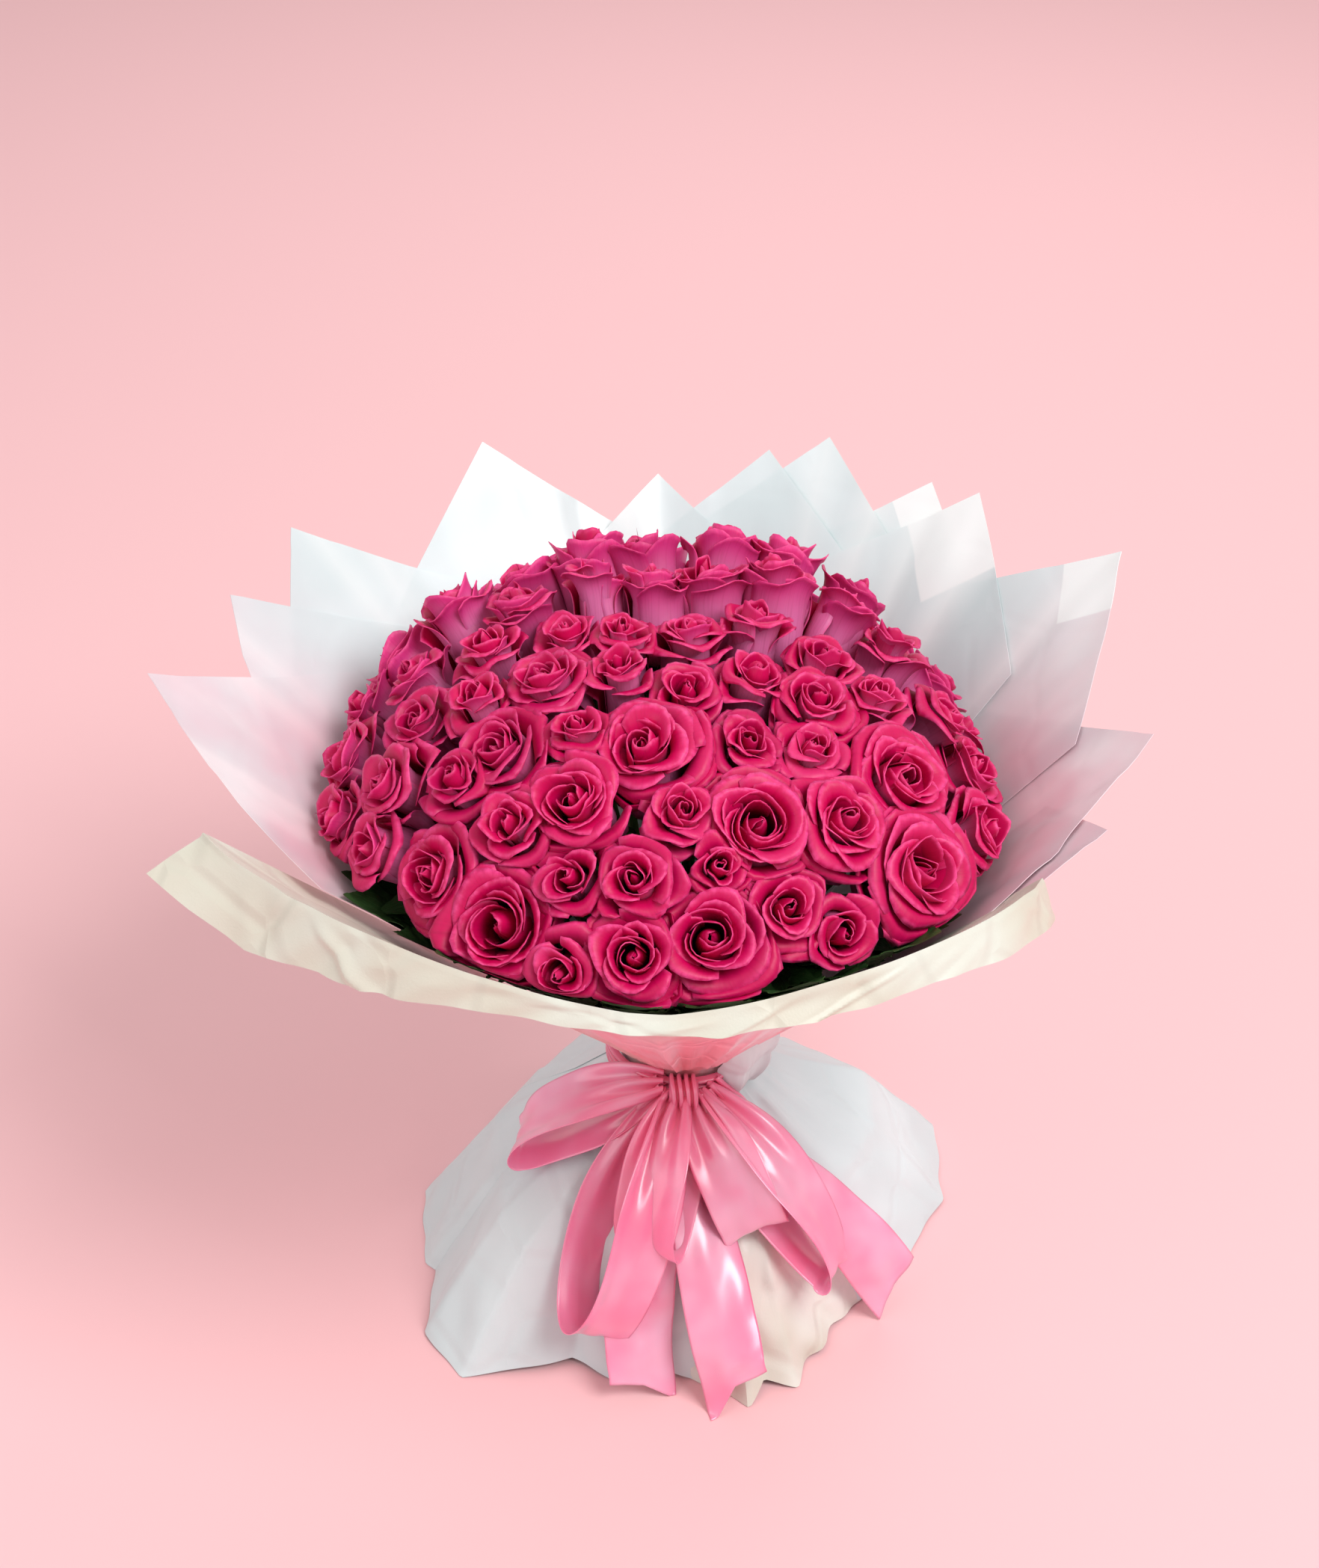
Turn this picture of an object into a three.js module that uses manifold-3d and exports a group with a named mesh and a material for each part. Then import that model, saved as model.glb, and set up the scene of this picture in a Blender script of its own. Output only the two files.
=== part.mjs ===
// A hand-tied bouquet of deep pink roses in white paper, with a satin bow, that stands on its cut stems.
// Millimetres, +Z up. The cut ends lie in z = 0 and the bouquet's front faces -Y.
import * as THREE from "three";
import { mergeVertices } from "three/addons/utils/BufferGeometryUtils.js";
import Module from "manifold-3d";

const wasm = await Module();
wasm.setup();

// ---- Driving dimensions ----
const tieHeight = 138; // middle of the tie above the cut ends
const clearance = 0.3; // gap between pieces that touch
const joinTolerance = 0.06; // edges shorter than this are merged where solids are joined
const headLean = -13; // the head leans this far to its left of the tie
const leanHeight = 200; // height above the waist at which the paper leans as far

// The blooms' faces lie on half an ellipsoid, and their axes spread from a focus under it.
const domeRadius = 170;
const domeHeight = 105;
const domeBase = 298;
const focus = new THREE.Vector3(0, 0, 185);
const rimPlanRadius = 160; // the outermost bloom's centre
const fillSpacing = 34; // least distance of a bloom placed by rule from the others
const fillTurns = 700; // steps of the rule that looks for free places
const bloomDepth = 40; // from a bloom's face down to its base
const bloomGap = 0.5; // between blooms of two nodes
const touchRatio = 0.8; // blooms nearer than this share of their two radii can share a node
const bloomOverlap = 5; // room that blooms of one node share
const bloomsPerNode = 3;
const neighbourReach = 100; // blooms farther apart than this don't bound each other
const freeShare = 0.85; // share of its room that a bloom fills before its petals are pressed in
const pressedSides = [-12, 0, 12]; // azimuths beside a bloom's own at which the wrap bounds it

const sepalReach = 9.5;
const stemWidth = 4.4;
const bundleRadius = 24; // the stems, where they are tied
const bundleHeight = 26;
const bluntEnd = 4;
const bindingThickness = 3;

const paper = 0.8;
const layerPitch = 1.15; // one paper layer to the next at the tie
const layerSpread = 0.9; // and how much further apart they lie at the collar's edge
const waistRadius = bundleRadius + bindingThickness + 2 * clearance + paper / 2;
const waistBottom = tieHeight - 14;
const waistTop = tieHeight + 10;
const collarSlope = 0.95; // radius gained for each millimetre of height
const collarSpan = 300; // slant length over which the layers spread
const sector = 7.5; // degrees between the folds that round the paper
const layers = { frontWrap: 4, skirtInner: 5.2, skirtOuter: 6.7, skirtBack: 8.2 };
const tipFall = 30; // a sheet's edge falls this much from its tip in one sector
const skirtTop = tieHeight + 8;
const skirtKnee = 66; // height at which the skirt has most of its flare
const skirtKneeShare = 0.62;
const skirtSpread = 2.5; // one skirt layer to the next at the hem

const ribbonWidth = 38;
const ribbonThickness = 1;
const knotSize = new THREE.Vector3(15, 10, 13); // half its width, depth and height

const leafLength = 62;
const leafWidth = 32;
const leafMargin = 3.2; // from the paper to the middle of a leaf
const leafRimRadius = 138; // blooms farther out than this are at the rim, where the leaves grow
const leafTurn = 8; // a leaf stands this many degrees beside its bloom
const leafFoot = 282; // height of a leaf's foot
const stalkRoot = 0.62; // place of a leaf's stalk on the stem, from the tie up
const stalkSeat = 3; // length of the stalk's end in the leaf
const stalkWidth = 2.4;
const bloomMargin = 5.6; // from the paper to a bloom

// ---- Colours ----
const finishes = {
  petal: { color: 0xd81460, roughness: 0.55, metalness: 0 },
  leaf: { color: 0x2f5a2a, roughness: 0.6, metalness: 0 },
  twine: { color: 0xb59a6a, roughness: 0.9, metalness: 0 },
  paper: { color: 0xe6e9e8, roughness: 0.6, metalness: 0 },
  wrap: { color: 0xe2e0cf, roughness: 0.7, metalness: 0 },
  ribbon: { color: 0xff7c9c, roughness: 0.35, metalness: 0 },
};

// Blooms that the front shows: place beside the head's axis, width, and 0 for a bud to 1 for full open.
const seenBlooms = [
  // the rim, from the left round the front to the right
  [-152, 45, 32, 0.3], [-158, 5, 38, 0.5], [-161, -35, 36, 0.2], [-140, -78, 32, 0.2],
  [-108, -108, 40, 0.6], [-80, -138, 52, 0.9], [-46, -156, 30, 0.2], [-14, -160, 40, 0.7],
  [26, -156, 50, 0.8], [60, -140, 34, 0.5], [86, -134, 30, 0.1], [126, -96, 54, 0.9],
  [158, -48, 36, 0.5], [161, -5, 38, 0.6], [158, 32, 30, 0.4], [142, 68, 32, 0.5],
  // the second ring
  [-125, -15, 38, 0.6], [-130, -50, 38, 0.6], [-101, -75, 32, 0.5], [-71, -106, 33, 0.5],
  [-42, -134, 32, 0.3], [-9, -138, 34, 0.6], [24, -127, 26, 0.2], [47, -109, 50, 0.9],
  [84, -100, 44, 0.8], [116, -58, 48, 1], [111, -20, 32, 0.6], [143, 8, 34, 0.5],
  [120, 32, 34, 0.5], [-132, 72, 40, 0.8], [-122, 22, 34, 0.4],
  // the crown
  [-39, -100, 44, 0.8], [5, -112, 36, 0.5], [-74, -64, 44, 0.8], [-44, -66, 28, 0.5],
  [-3, -76, 54, 1], [40, -68, 32, 0.5], [76, -66, 33, 0.6], [80, -34, 40, 0.8],
  [-92, -29, 32, 0.4], [-58, -26, 44, 0.8], [-22, -32, 30, 0.5], [12, -34, 32, 0.5],
  [44, -28, 33, 0.6], [84, 0, 34, 0.6], [14, 2, 38, 0.6], [-20, 4, 30, 0.5],
  [48, 14, 34, 0.4], [-50, 14, 32, 0.3], [-86, 8, 34, 0.4], [-70, 42, 34, 0.6],
  [-100, 52, 34, 0.5], [-36, 42, 30, 0.3], [-4, 40, 34, 0.5], [28, 44, 36, 0.5],
  [62, 52, 38, 0.4], [94, 48, 34, 0.5],
  // the far side, which shows over the crown
  [-104, 96, 30, 0.4], [-70, 84, 36, 0.7], [-36, 82, 34, 0.6], [-4, 80, 34, 0.5],
  [30, 84, 34, 0.7], [62, 88, 34, 0.5], [96, 84, 32, 0.3], [122, 100, 34, 0.5],
];

// Paper sheets of the collar: tip azimuth, tip slant height, half width in sectors, layer.
const collarSheets = [
  { name: "a", azimuth: -90, tip: 324, half: 4, layer: 0 },
  { name: "b", azimuth: -112.5, tip: 308, half: 4, layer: 1 },
  { name: "c", azimuth: -127.5, tip: 316, half: 4, layer: 2 },
  { name: "d", azimuth: -157.5, tip: 324, half: 3, layer: 3 },
  { name: "e", azimuth: 180, tip: 299, half: 2, layer: 0 },
  { name: "f", azimuth: 165, tip: 316, half: 2, layer: 1 },
  { name: "g", azimuth: 157.5, tip: 328, half: 3, layer: 2 },
  { name: "h", azimuth: 142.5, tip: 317, half: 3, layer: 3 },
  { name: "i", azimuth: 135, tip: 325, half: 3, layer: 0 },
  { name: "j", azimuth: 112.5, tip: 339, half: 3, layer: 1 },
  { name: "k", azimuth: 82.5, tip: 306, half: 4, layer: 2 },
  { name: "l", azimuth: 67.5, tip: 283, half: 2, layer: 3 },
];

// The front wrap's upper edge and the edge of its turned-down cuff: azimuth, radius, height.
const wrapLip = [
  [-60, 258, 345], [-52.5, 228, 346], [-37.5, 207, 346], [-22.5, 202, 342], [0, 200, 331],
  [22.5, 202, 341], [37.5, 207, 344], [52.5, 214, 334], [60, 206, 322],
];
const wrapCuff = [
  [-60, 264, 330], [-52.5, 242, 310], [-37.5, 225, 314], [-22.5, 217, 320], [0, 215, 321],
  [22.5, 217, 325], [37.5, 222, 328], [52.5, 228, 316], [60, 220, 306],
];

// Radius of the skirt's hem by azimuth.
const skirtHem = [
  [-180, 140], [-150, 146], [-120, 142], [-90, 152], [-60, 166], [-45, 152], [-30, 128],
  [0, 122], [15, 144], [30, 138], [52.5, 120], [75, 132], [97.5, 156], [112.5, 168],
  [135, 148], [157.5, 134], [180, 140],
];
const skirtSheets = [
  { name: "left_back", from: -120, to: -67.5, layer: layers.skirtInner },
  { name: "left_front", from: -75, to: 0, layer: layers.skirtOuter },
  { name: "right_front", from: -7.5, to: 60, layer: layers.skirtInner },
  { name: "right_back", from: 52.5, to: 142.5, layer: layers.skirtOuter },
  { name: "back", from: 135, to: 247.5, layer: layers.skirtBack },
];

// The bow's loops and tails: azimuth, height, and how far the ribbon stands off the skirt.
const bowLoops = [
  [[-10, 138, 6], [-45, 128, 14], [-66, 106, 27], [-70, 84, 30], [-62, 80, 18], [-42, 102, 12], [-12, 130, 5]],
  [[-8, 140, 7], [-30, 112, 20], [-32, 72, 26], [-26, 42, 24], [-18, 32, 18], [-14, 52, 12], [-7, 124, 5]],
  [[-3, 142, 8], [-9, 112, 21], [-10, 80, 25], [-7, 66, 20], [-4, 76, 13], [-2, 122, 6]],
  [[8, 140, 6], [26, 108, 19], [36, 62, 26], [41, 38, 20], [37, 54, 12], [23, 96, 10], [8, 126, 5]],
];
const bowTails = [
  [[-5, 132, 4], [-12, 90, 8], [-15, 45, 8], [-13, 12, 8]],
  [[3, 132, 4], [8, 90, 9], [11, 45, 9], [9, 12, 8]],
  [[10, 136, 5], [34, 105, 14], [48, 60, 17], [54, 16, 14]],
];

// ---- Small helpers ----
const radians = THREE.MathUtils.degToRad;

// Azimuth 0 is the front, -Y, and grows towards +X.
function polar(azimuth, radius, height) {
  const a = radians(azimuth);
  return new THREE.Vector3(radius * Math.sin(a), -radius * Math.cos(a), height);
}

// The same sequence of numbers from 0 to 1 for the same seed.
function seededRandom(seed) {
  let state = seed;
  return () => {
    state = (state * 16807) % 2147483647;
    return state / 2147483647;
  };
}

function geometryFrom(points, faces) {
  const geometry = new THREE.BufferGeometry();
  geometry.setAttribute("position", new THREE.Float32BufferAttribute(points.flatMap((p) => p.toArray()), 3));
  geometry.setIndex(faces.flat());
  return geometry;
}

function solidFrom(geometry) {
  const bare = geometry.clone();
  bare.deleteAttribute("normal");
  bare.deleteAttribute("uv");
  const merged = mergeVertices(bare, 1e-4);
  const vertProperties = merged.attributes.position.array;
  const triVerts = new Uint32Array(merged.index.array);
  return new wasm.Manifold(new wasm.Mesh({ numProp: 3, vertProperties, triVerts }));
}

function geometryOf(solid) {
  const { numProp, vertProperties, triVerts } = solid.getMesh();
  const points = [];
  for (let i = 0; i < vertProperties.length; i += numProp) {
    points.push(new THREE.Vector3(vertProperties[i], vertProperties[i + 1], vertProperties[i + 2]));
  }
  const faces = [];
  for (let i = 0; i < triVerts.length; i += 3) faces.push([...triVerts.slice(i, i + 3)]);
  return geometryFrom(points, faces);
}

// Joins solids into one, with the hollows that this seals filled, loose scraps dropped and slivers merged.
function joined(solids) {
  const whole = solids.reduce((sum, next) => sum.add(next));
  const largest = whole.decompose().reduce((most, next) => (next.volume() > most.volume() ? next : most));
  return largest.asOriginal().simplify(joinTolerance);
}

// Closed solid through rings of points, anticlockwise seen from its end, with a point at each end.
function loft(startPoint, rings, endPoint) {
  const points = [startPoint, ...rings.flat(), endPoint];
  const faces = [];
  let first = 1;
  const ringStart = rings.map((ring) => {
    const start = first;
    first += ring.length;
    return start;
  });
  const at = (row, i) => ringStart[row] + (i % rings[row].length);
  rings[0].forEach((_, i) => faces.push([0, at(0, i + 1), at(0, i)]));
  for (let row = 0; row + 1 < rings.length; row += 1) stitch(row);
  const last = rings.length - 1;
  rings[last].forEach((_, i) => faces.push([at(last, i), at(last, i + 1), points.length - 1]));
  return geometryFrom(points, faces);

  // Joins two rings, also where the upper one has more points than the lower one.
  function stitch(row) {
    const low = rings[row].length;
    const high = rings[row + 1].length;
    let i = 0;
    let j = 0;
    while (i < low || j < high) {
      if (j >= high || (i < low && (i + 1) / low <= (j + 1) / high)) {
        faces.push([at(row, i), at(row, i + 1), at(row + 1, j)]);
        i += 1;
      } else {
        faces.push([at(row, i), at(row + 1, j + 1), at(row + 1, j)]);
        j += 1;
      }
    }
  }
}

// A thin sheet from rows of points, thickened along its own normals, its two faces split alike.
function plate(rows, thickness) {
  const across = rows[0].length;
  const normals = rows.map((row, r) => row.map((_, c) => {
    const along = rows[Math.min(r + 1, rows.length - 1)][c].clone().sub(rows[Math.max(r - 1, 0)][c]);
    const side = row[Math.min(c + 1, across - 1)].clone().sub(row[Math.max(c - 1, 0)]);
    return side.cross(along).normalize();
  }));
  const face = (sign) => rows.flatMap((row, r) => row.map((point, c) =>
    point.clone().addScaledVector(normals[r][c], (sign * thickness) / 2)));
  const points = [...face(1), ...face(-1)];
  const under = rows.length * across;
  const faces = [];
  const quad = (a, b, c, d) => faces.push([a, b, c], [a, c, d]);
  for (let r = 0; r + 1 < rows.length; r += 1) {
    for (let c = 0; c + 1 < across; c += 1) {
      const i = r * across + c;
      quad(i, i + 1, i + across + 1, i + across);
      faces.push([i + under, i + across + 1 + under, i + 1 + under]);
      faces.push([i + under, i + across + under, i + across + 1 + under]);
    }
  }
  const rim = [];
  for (let c = 0; c + 1 < across; c += 1) rim.push(c);
  for (let r = 0; r + 1 < rows.length; r += 1) rim.push(r * across + across - 1);
  for (let c = across - 1; c > 0; c -= 1) rim.push((rows.length - 1) * across + c);
  for (let r = rows.length - 1; r > 0; r -= 1) rim.push(r * across);
  rim.forEach((i, k) => {
    const j = rim[(k + 1) % rim.length];
    quad(i, i + under, j + under, j);
  });
  return geometryFrom(points, faces);
}

// The value at x on a line through [x, value, ...] rows, straight between them.
function along(rows, x, column = 1) {
  const next = rows.findIndex((row) => row[0] >= x);
  if (next <= 0) return rows[next < 0 ? rows.length - 1 : 0][column];
  const [before, after] = [rows[next - 1], rows[next]];
  return THREE.MathUtils.mapLinear(x, before[0], after[0], before[column], after[column]);
}

// ---- Places of the blooms ----
function domePoint(x, y) {
  const reach = Math.min(1, Math.hypot(x, y) / domeRadius);
  return new THREE.Vector3(headLean + x, y, domeBase + domeHeight * Math.sqrt(1 - reach * reach));
}

function placeBlooms() {
  const random = seededRandom(2024);
  const blooms = seenBlooms.map(([x, y, width, open]) => ({ face: domePoint(x, y), width, open }));
  // Where the front shows none, a lattice of golden-angle turns fills the dome evenly, rim first.
  for (let k = fillTurns; k > 0; k -= 1) {
    const radius = rimPlanRadius * Math.sqrt(k / fillTurns);
    const turn = k * Math.PI * (3 - Math.sqrt(5));
    const face = domePoint(radius * Math.cos(turn), radius * Math.sin(turn));
    const nearest = Math.min(...blooms.map((other) => other.face.distanceTo(face)));
    if (nearest < fillSpacing) continue;
    blooms.push({ face, width: 36 + 10 * random(), open: 0.3 + 0.6 * random() });
  }
  blooms.forEach((bloom, index) => {
    bloom.index = index;
    bloom.axis = bloom.face.clone().sub(focus).normalize();
    bloom.radius = 0.62 * bloom.width + 2;
    bloom.turn = 2 * Math.PI * random();
  });
  return blooms;
}

// Neighbouring blooms share a node, up to bloomsPerNode of them.
function clusterBlooms(blooms) {
  const free = new Set(blooms);
  const clusters = [];
  for (const bloom of blooms) {
    if (!free.delete(bloom)) continue;
    const cluster = [bloom];
    while (cluster.length < bloomsPerNode) {
      const near = [...free]
        .map((other) => [Math.min(...cluster.map((one) => one.face.distanceTo(other.face) / (one.radius + other.radius))), other])
        .sort((one, other) => one[0] - other[0])[0];
      if (!near || near[0] > touchRatio) break;
      cluster.push(near[1]);
      free.delete(near[1]);
    }
    cluster.forEach((one) => { one.cluster = clusters.length; });
    clusters.push(cluster);
  }
  return clusters;
}

const blooms = placeBlooms();
const clusters = clusterBlooms(blooms);

// ---- Paper surfaces ----
// The paper above the waist leans with the head.
function leaned(point) {
  point.x += (headLean * Math.max(0, point.z - waistTop)) / leanHeight;
  return point;
}

function spread(slant, layer) {
  return layer * (layerPitch + layerSpread * Math.min(1, Math.max(0, slant) / collarSpan));
}

// Point of the collar at a slant distance above the waist, in one of its layers.
function collarPoint(azimuth, slant, layer) {
  const rise = slant / Math.hypot(1, collarSlope);
  return leaned(polar(azimuth, waistRadius + rise * collarSlope + spread(slant, layer), waistTop + rise));
}

// The surface that the blooms keep clear of, as a plane that touches it at an azimuth.
function wrapPlane(azimuth, margin) {
  const lip = [along(wrapLip, azimuth), along(wrapLip, azimuth, 2)];
  const slope = Math.min(collarSlope, (lip[0] - waistRadius) / (lip[1] - waistTop));
  const out = polar(azimuth, 1, 0);
  const normal = new THREE.Vector3(out.x, out.y, -slope - (out.x * headLean) / leanHeight).normalize();
  const point = polar(azimuth, waistRadius, waistTop);
  return { normal, limit: normal.dot(point) - margin };
}

function azimuthOf(bloom) {
  return THREE.MathUtils.radToDeg(Math.atan2(bloom.face.x - headLean, -bloom.face.y));
}

// ---- Blooms ----
// Planes that bound a bloom's own room: half way to each neighbour, and inside the wrap.
function roomOf(bloom) {
  const planes = [];
  for (const other of blooms) {
    if (other === bloom || other.face.distanceTo(bloom.face) > neighbourReach) continue;
    const middle = bloom.axis.clone().multiplyScalar(other.radius).addScaledVector(other.axis, bloom.radius).normalize();
    const normal = other.axis.clone().addScaledVector(middle, -other.axis.dot(middle)).normalize();
    const gap = other.cluster === bloom.cluster ? -bloomOverlap : bloomGap;
    planes.push({ normal, limit: normal.dot(focus) - gap / 2 });
  }
  const azimuth = azimuthOf(bloom);
  for (const side of pressedSides) planes.push(wrapPlane(azimuth + side, bloomMargin));
  return planes;
}

// Draws a point in towards the bloom's axis, so that it keeps to the bloom's room.
function keptIn(point, bloom, planes) {
  const depth = point.clone().sub(focus).dot(bloom.axis);
  const middle = focus.clone().addScaledVector(bloom.axis, depth);
  const out = point.clone().sub(middle);
  const reach = out.length();
  if (reach < 1e-6) return point;
  out.divideScalar(reach);
  let most = Infinity;
  for (const { normal, limit } of planes) {
    const slope = normal.dot(out);
    if (slope > 1e-6) most = Math.min(most, (limit - normal.dot(middle)) / slope);
  }
  const free = freeShare * most;
  if (reach <= free) return point;
  const rest = most - free;
  return middle.addScaledVector(out, free + rest * (1 - Math.exp((free - reach) / rest)));
}

function frameOf(bloom) {
  const side = new THREE.Vector3(0, 0, 1).cross(bloom.axis);
  if (side.length() < 0.05) side.set(1, 0, 0);
  side.addScaledVector(bloom.axis, -side.dot(bloom.axis)).normalize();
  return { side, up: bloom.axis.clone().cross(side) };
}

// Ring of points round a bloom's axis: odd points are petal tips on even whorls, and dips on odd ones.
function petalRing(bloom, frame, planes, { radius, height, dip, drop, whorl, steps }) {
  const ring = [];
  for (let i = 0; i < steps; i += 1) {
    const low = (i + whorl) % 2 === 0;
    const angle = bloom.turn + (2 * Math.PI * i) / steps;
    const r = radius * (low ? 1 - dip : 1);
    const point = bloom.face.clone()
      .addScaledVector(bloom.axis, height - (low ? drop : 0))
      .addScaledVector(frame.side, r * Math.cos(angle))
      .addScaledVector(frame.up, r * Math.sin(angle));
    ring.push(keptIn(point, bloom, planes));
  }
  return ring;
}

function bloomSolid(bloom) {
  const planes = roomOf(bloom);
  const frame = frameOf(bloom);
  const { radius, open } = bloom;
  const mix = (bud, full) => THREE.MathUtils.lerp(bud, full, open);
  const steps = bloom.width < 37 ? 8 : 10;
  const ring = (part) => petalRing(bloom, frame, planes, { steps, dip: 0, drop: 0, whorl: 0, ...part });
  const rings = [
    ring({ radius: radius * mix(0.74, 0.8), height: -0.5 * bloomDepth }),
    ring({ radius: radius * mix(0.84, 1.08), height: mix(-5, -11), dip: 0.18, drop: -3 }),
    ring({ radius: radius * mix(0.6, 0.7), height: mix(-12, -15), whorl: 1 }),
    ring({ radius: radius * mix(0.54, 0.64), height: mix(3, -1), dip: 0.2, drop: 4, whorl: 1 }),
  ];
  if (bloom.width >= 42) {
    rings.push(ring({ radius: radius * 0.42, height: -9 }));
    rings.push(ring({ radius: radius * 0.34, height: 4, dip: 0.25, drop: 3 }));
  }
  const base = bloom.face.clone().addScaledVector(bloom.axis, -bloomDepth);
  const heart = bloom.face.clone().addScaledVector(bloom.axis, mix(2, -6));
  return solidFrom(loft(base, rings, heart));
}

// ---- Stems, calyxes and leaves ----
// A stem runs straight from its calyx through the tie, a quarter turn round, to its cut end.
function stemLine(bloom) {
  const top = bloom.face.clone().addScaledVector(bloom.axis, -bloomDepth - 8);
  const share = (bundleRadius - 6) / (rimPlanRadius - 20);
  const tie = new THREE.Vector3(-top.y * share, top.x * share, tieHeight);
  const cut = tie.clone().addScaledVector(tie.clone().sub(top), tieHeight / (top.z - tieHeight));
  return { top, tie, cut };
}

function stemSolid(bloom) {
  const frame = frameOf(bloom);
  const planes = roomOf(bloom);
  const { top, cut } = stemLine(bloom);
  const square = (centre, size) => [45, 135, 225, 315].map((degrees) => centre.clone().add(
    new THREE.Vector3(size * Math.cos(radians(degrees)), size * Math.sin(radians(degrees)), 0)));
  const sepals = [];
  for (let i = 0; i < 10; i += 1) {
    const tip = i % 2 === 0;
    const angle = (2 * Math.PI * i) / 10 + Math.PI / 4;
    const across = tip ? sepalReach : 3.6;
    const under = (0.5 * bloomDepth * across) / (0.8 * bloom.radius) - (tip ? 2.5 : 5);
    const point = bloom.face.clone()
      .addScaledVector(bloom.axis, under - bloomDepth)
      .addScaledVector(frame.side, across * Math.cos(angle))
      .addScaledVector(frame.up, across * Math.sin(angle));
    sepals.push(keptIn(point, bloom, planes));
  }
  const seat = bloom.face.clone().addScaledVector(bloom.axis, -bloomDepth - clearance - 0.1);
  return solidFrom(loft(cut, [square(cut, stemWidth / 2), square(top, stemWidth / 2), sepals], seat));
}

// A toothed leaf with a raised midrib, from its foot to its tip, with its upper face along normal.
function leafSolid(foot, tip, normal) {
  const length = foot.distanceTo(tip);
  const forward = tip.clone().sub(foot).normalize();
  const side = forward.clone().cross(normal).normalize();
  const outline = [];
  const teeth = 4;
  for (const sign of [-1, 1]) {
    for (let k = 1; k <= teeth; k += 1) {
      const t = sign < 0 ? k / (teeth + 1) : 1 - k / (teeth + 1);
      const half = (leafWidth / 2) * Math.sin(Math.PI * t ** 0.8) * (k % 2 ? 0.86 : 1.06);
      outline.push(foot.clone().addScaledVector(forward, t * length).addScaledVector(side, sign * half));
    }
    outline.push((sign < 0 ? tip : foot).clone());
  }
  const rib = foot.clone().lerp(tip, 0.5);
  const [above, below] = [rib.clone().addScaledVector(normal, 0.7), rib.clone().addScaledVector(normal, -0.7)];
  return solidFrom(loft(above, [outline], below));
}

// A square stalk between two points.
function stalkSolid(from, to, width) {
  const forward = to.clone().sub(from).normalize();
  const side = new THREE.Vector3(-forward.y, forward.x, 0).normalize();
  const up = forward.clone().cross(side);
  const ring = (centre) => [0, 1, 2, 3].map((k) => centre.clone()
    .addScaledVector(side, (width / 2) * Math.cos((k * Math.PI) / 2))
    .addScaledVector(up, (width / 2) * Math.sin((k * Math.PI) / 2)));
  return solidFrom(loft(from, [ring(from), ring(to)], to));
}

// Leaves stand between the rim's blooms and the paper, each on the stem of a rim bloom.
function leafSolids() {
  const rim = blooms.filter(({ face }) => Math.hypot(face.x - headLean, face.y) > leafRimRadius);
  return rim.filter((_, index) => index % 2 === 0).flatMap((bloom) => {
    const azimuth = azimuthOf(bloom) + leafTurn;
    const onPaper = (height) => {
      const { normal, limit } = wrapPlane(azimuth, leafMargin);
      const foot = polar(azimuth, 0, height);
      const out = polar(azimuth, 1, 0);
      return foot.addScaledVector(out, (limit - normal.dot(foot)) / normal.dot(out));
    };
    const { normal } = wrapPlane(azimuth, 0);
    const [foot, tip] = [onPaper(leafFoot), onPaper(leafFoot + leafLength / Math.hypot(1, collarSlope))];
    const { top, tie } = stemLine(bloom);
    const root = tie.clone().lerp(top, stalkRoot);
    const end = foot.clone().addScaledVector(foot.clone().sub(root).normalize(), stalkSeat);
    return [leafSolid(foot, tip, normal), stalkSolid(root, end, stalkWidth)];
  });
}

// Where the tie presses the stems together they are one bundle, with blunt ends between them.
function bundleSolid() {
  const sides = 10;
  const quarterSide = 360 / sides / 4;
  const ring = (height) => Array.from({ length: sides }, (_, k) =>
    polar((360 * k) / sides + quarterSide, bundleRadius, tieHeight + height));
  const end = (height) => new THREE.Vector3(0, 0, tieHeight + height);
  const half = bundleHeight / 2;
  return solidFrom(loft(end(-half - bluntEnd), [ring(-half), ring(half)], end(half + bluntEnd)));
}

function stemsSolid() {
  return joined([bundleSolid(), ...blooms.map(stemSolid), ...leafSolids()]);
}

// A ring round the tie with a rounded outside, whose flats stay clear of a round of the inner radius.
function ringGeometry(innerRadius, thickness, height) {
  const segments = 24;
  const inner = innerRadius / Math.cos(Math.PI / segments);
  const half = height / 2;
  const profile = [
    [inner, -half], [inner + 0.7 * thickness, -half], [inner + thickness, 0],
    [inner + 0.7 * thickness, half], [inner, half], [inner, -half],
  ].map(([x, y]) => new THREE.Vector2(x, y));
  return new THREE.LatheGeometry(profile, segments).rotateX(Math.PI / 2).translate(0, 0, tieHeight);
}

// ---- Paper ----
function sectorsBetween(from, to) {
  const count = Math.round((to - from) / sector);
  return Array.from({ length: count + 1 }, (_, k) => from + k * sector);
}

function collarGeometry({ azimuth, tip, half, layer }) {
  const columns = sectorsBetween(azimuth - half * sector, azimuth + half * sector);
  const waist = columns.map((a) => polar(a, waistRadius + spread(0, layer), waistBottom));
  const start = columns.map((a) => collarPoint(a, 0, layer));
  const edge = columns.map((a, k) => collarPoint(a, tip - tipFall * Math.abs(k - half), layer));
  return plate([waist, start, edge], paper);
}

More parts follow.
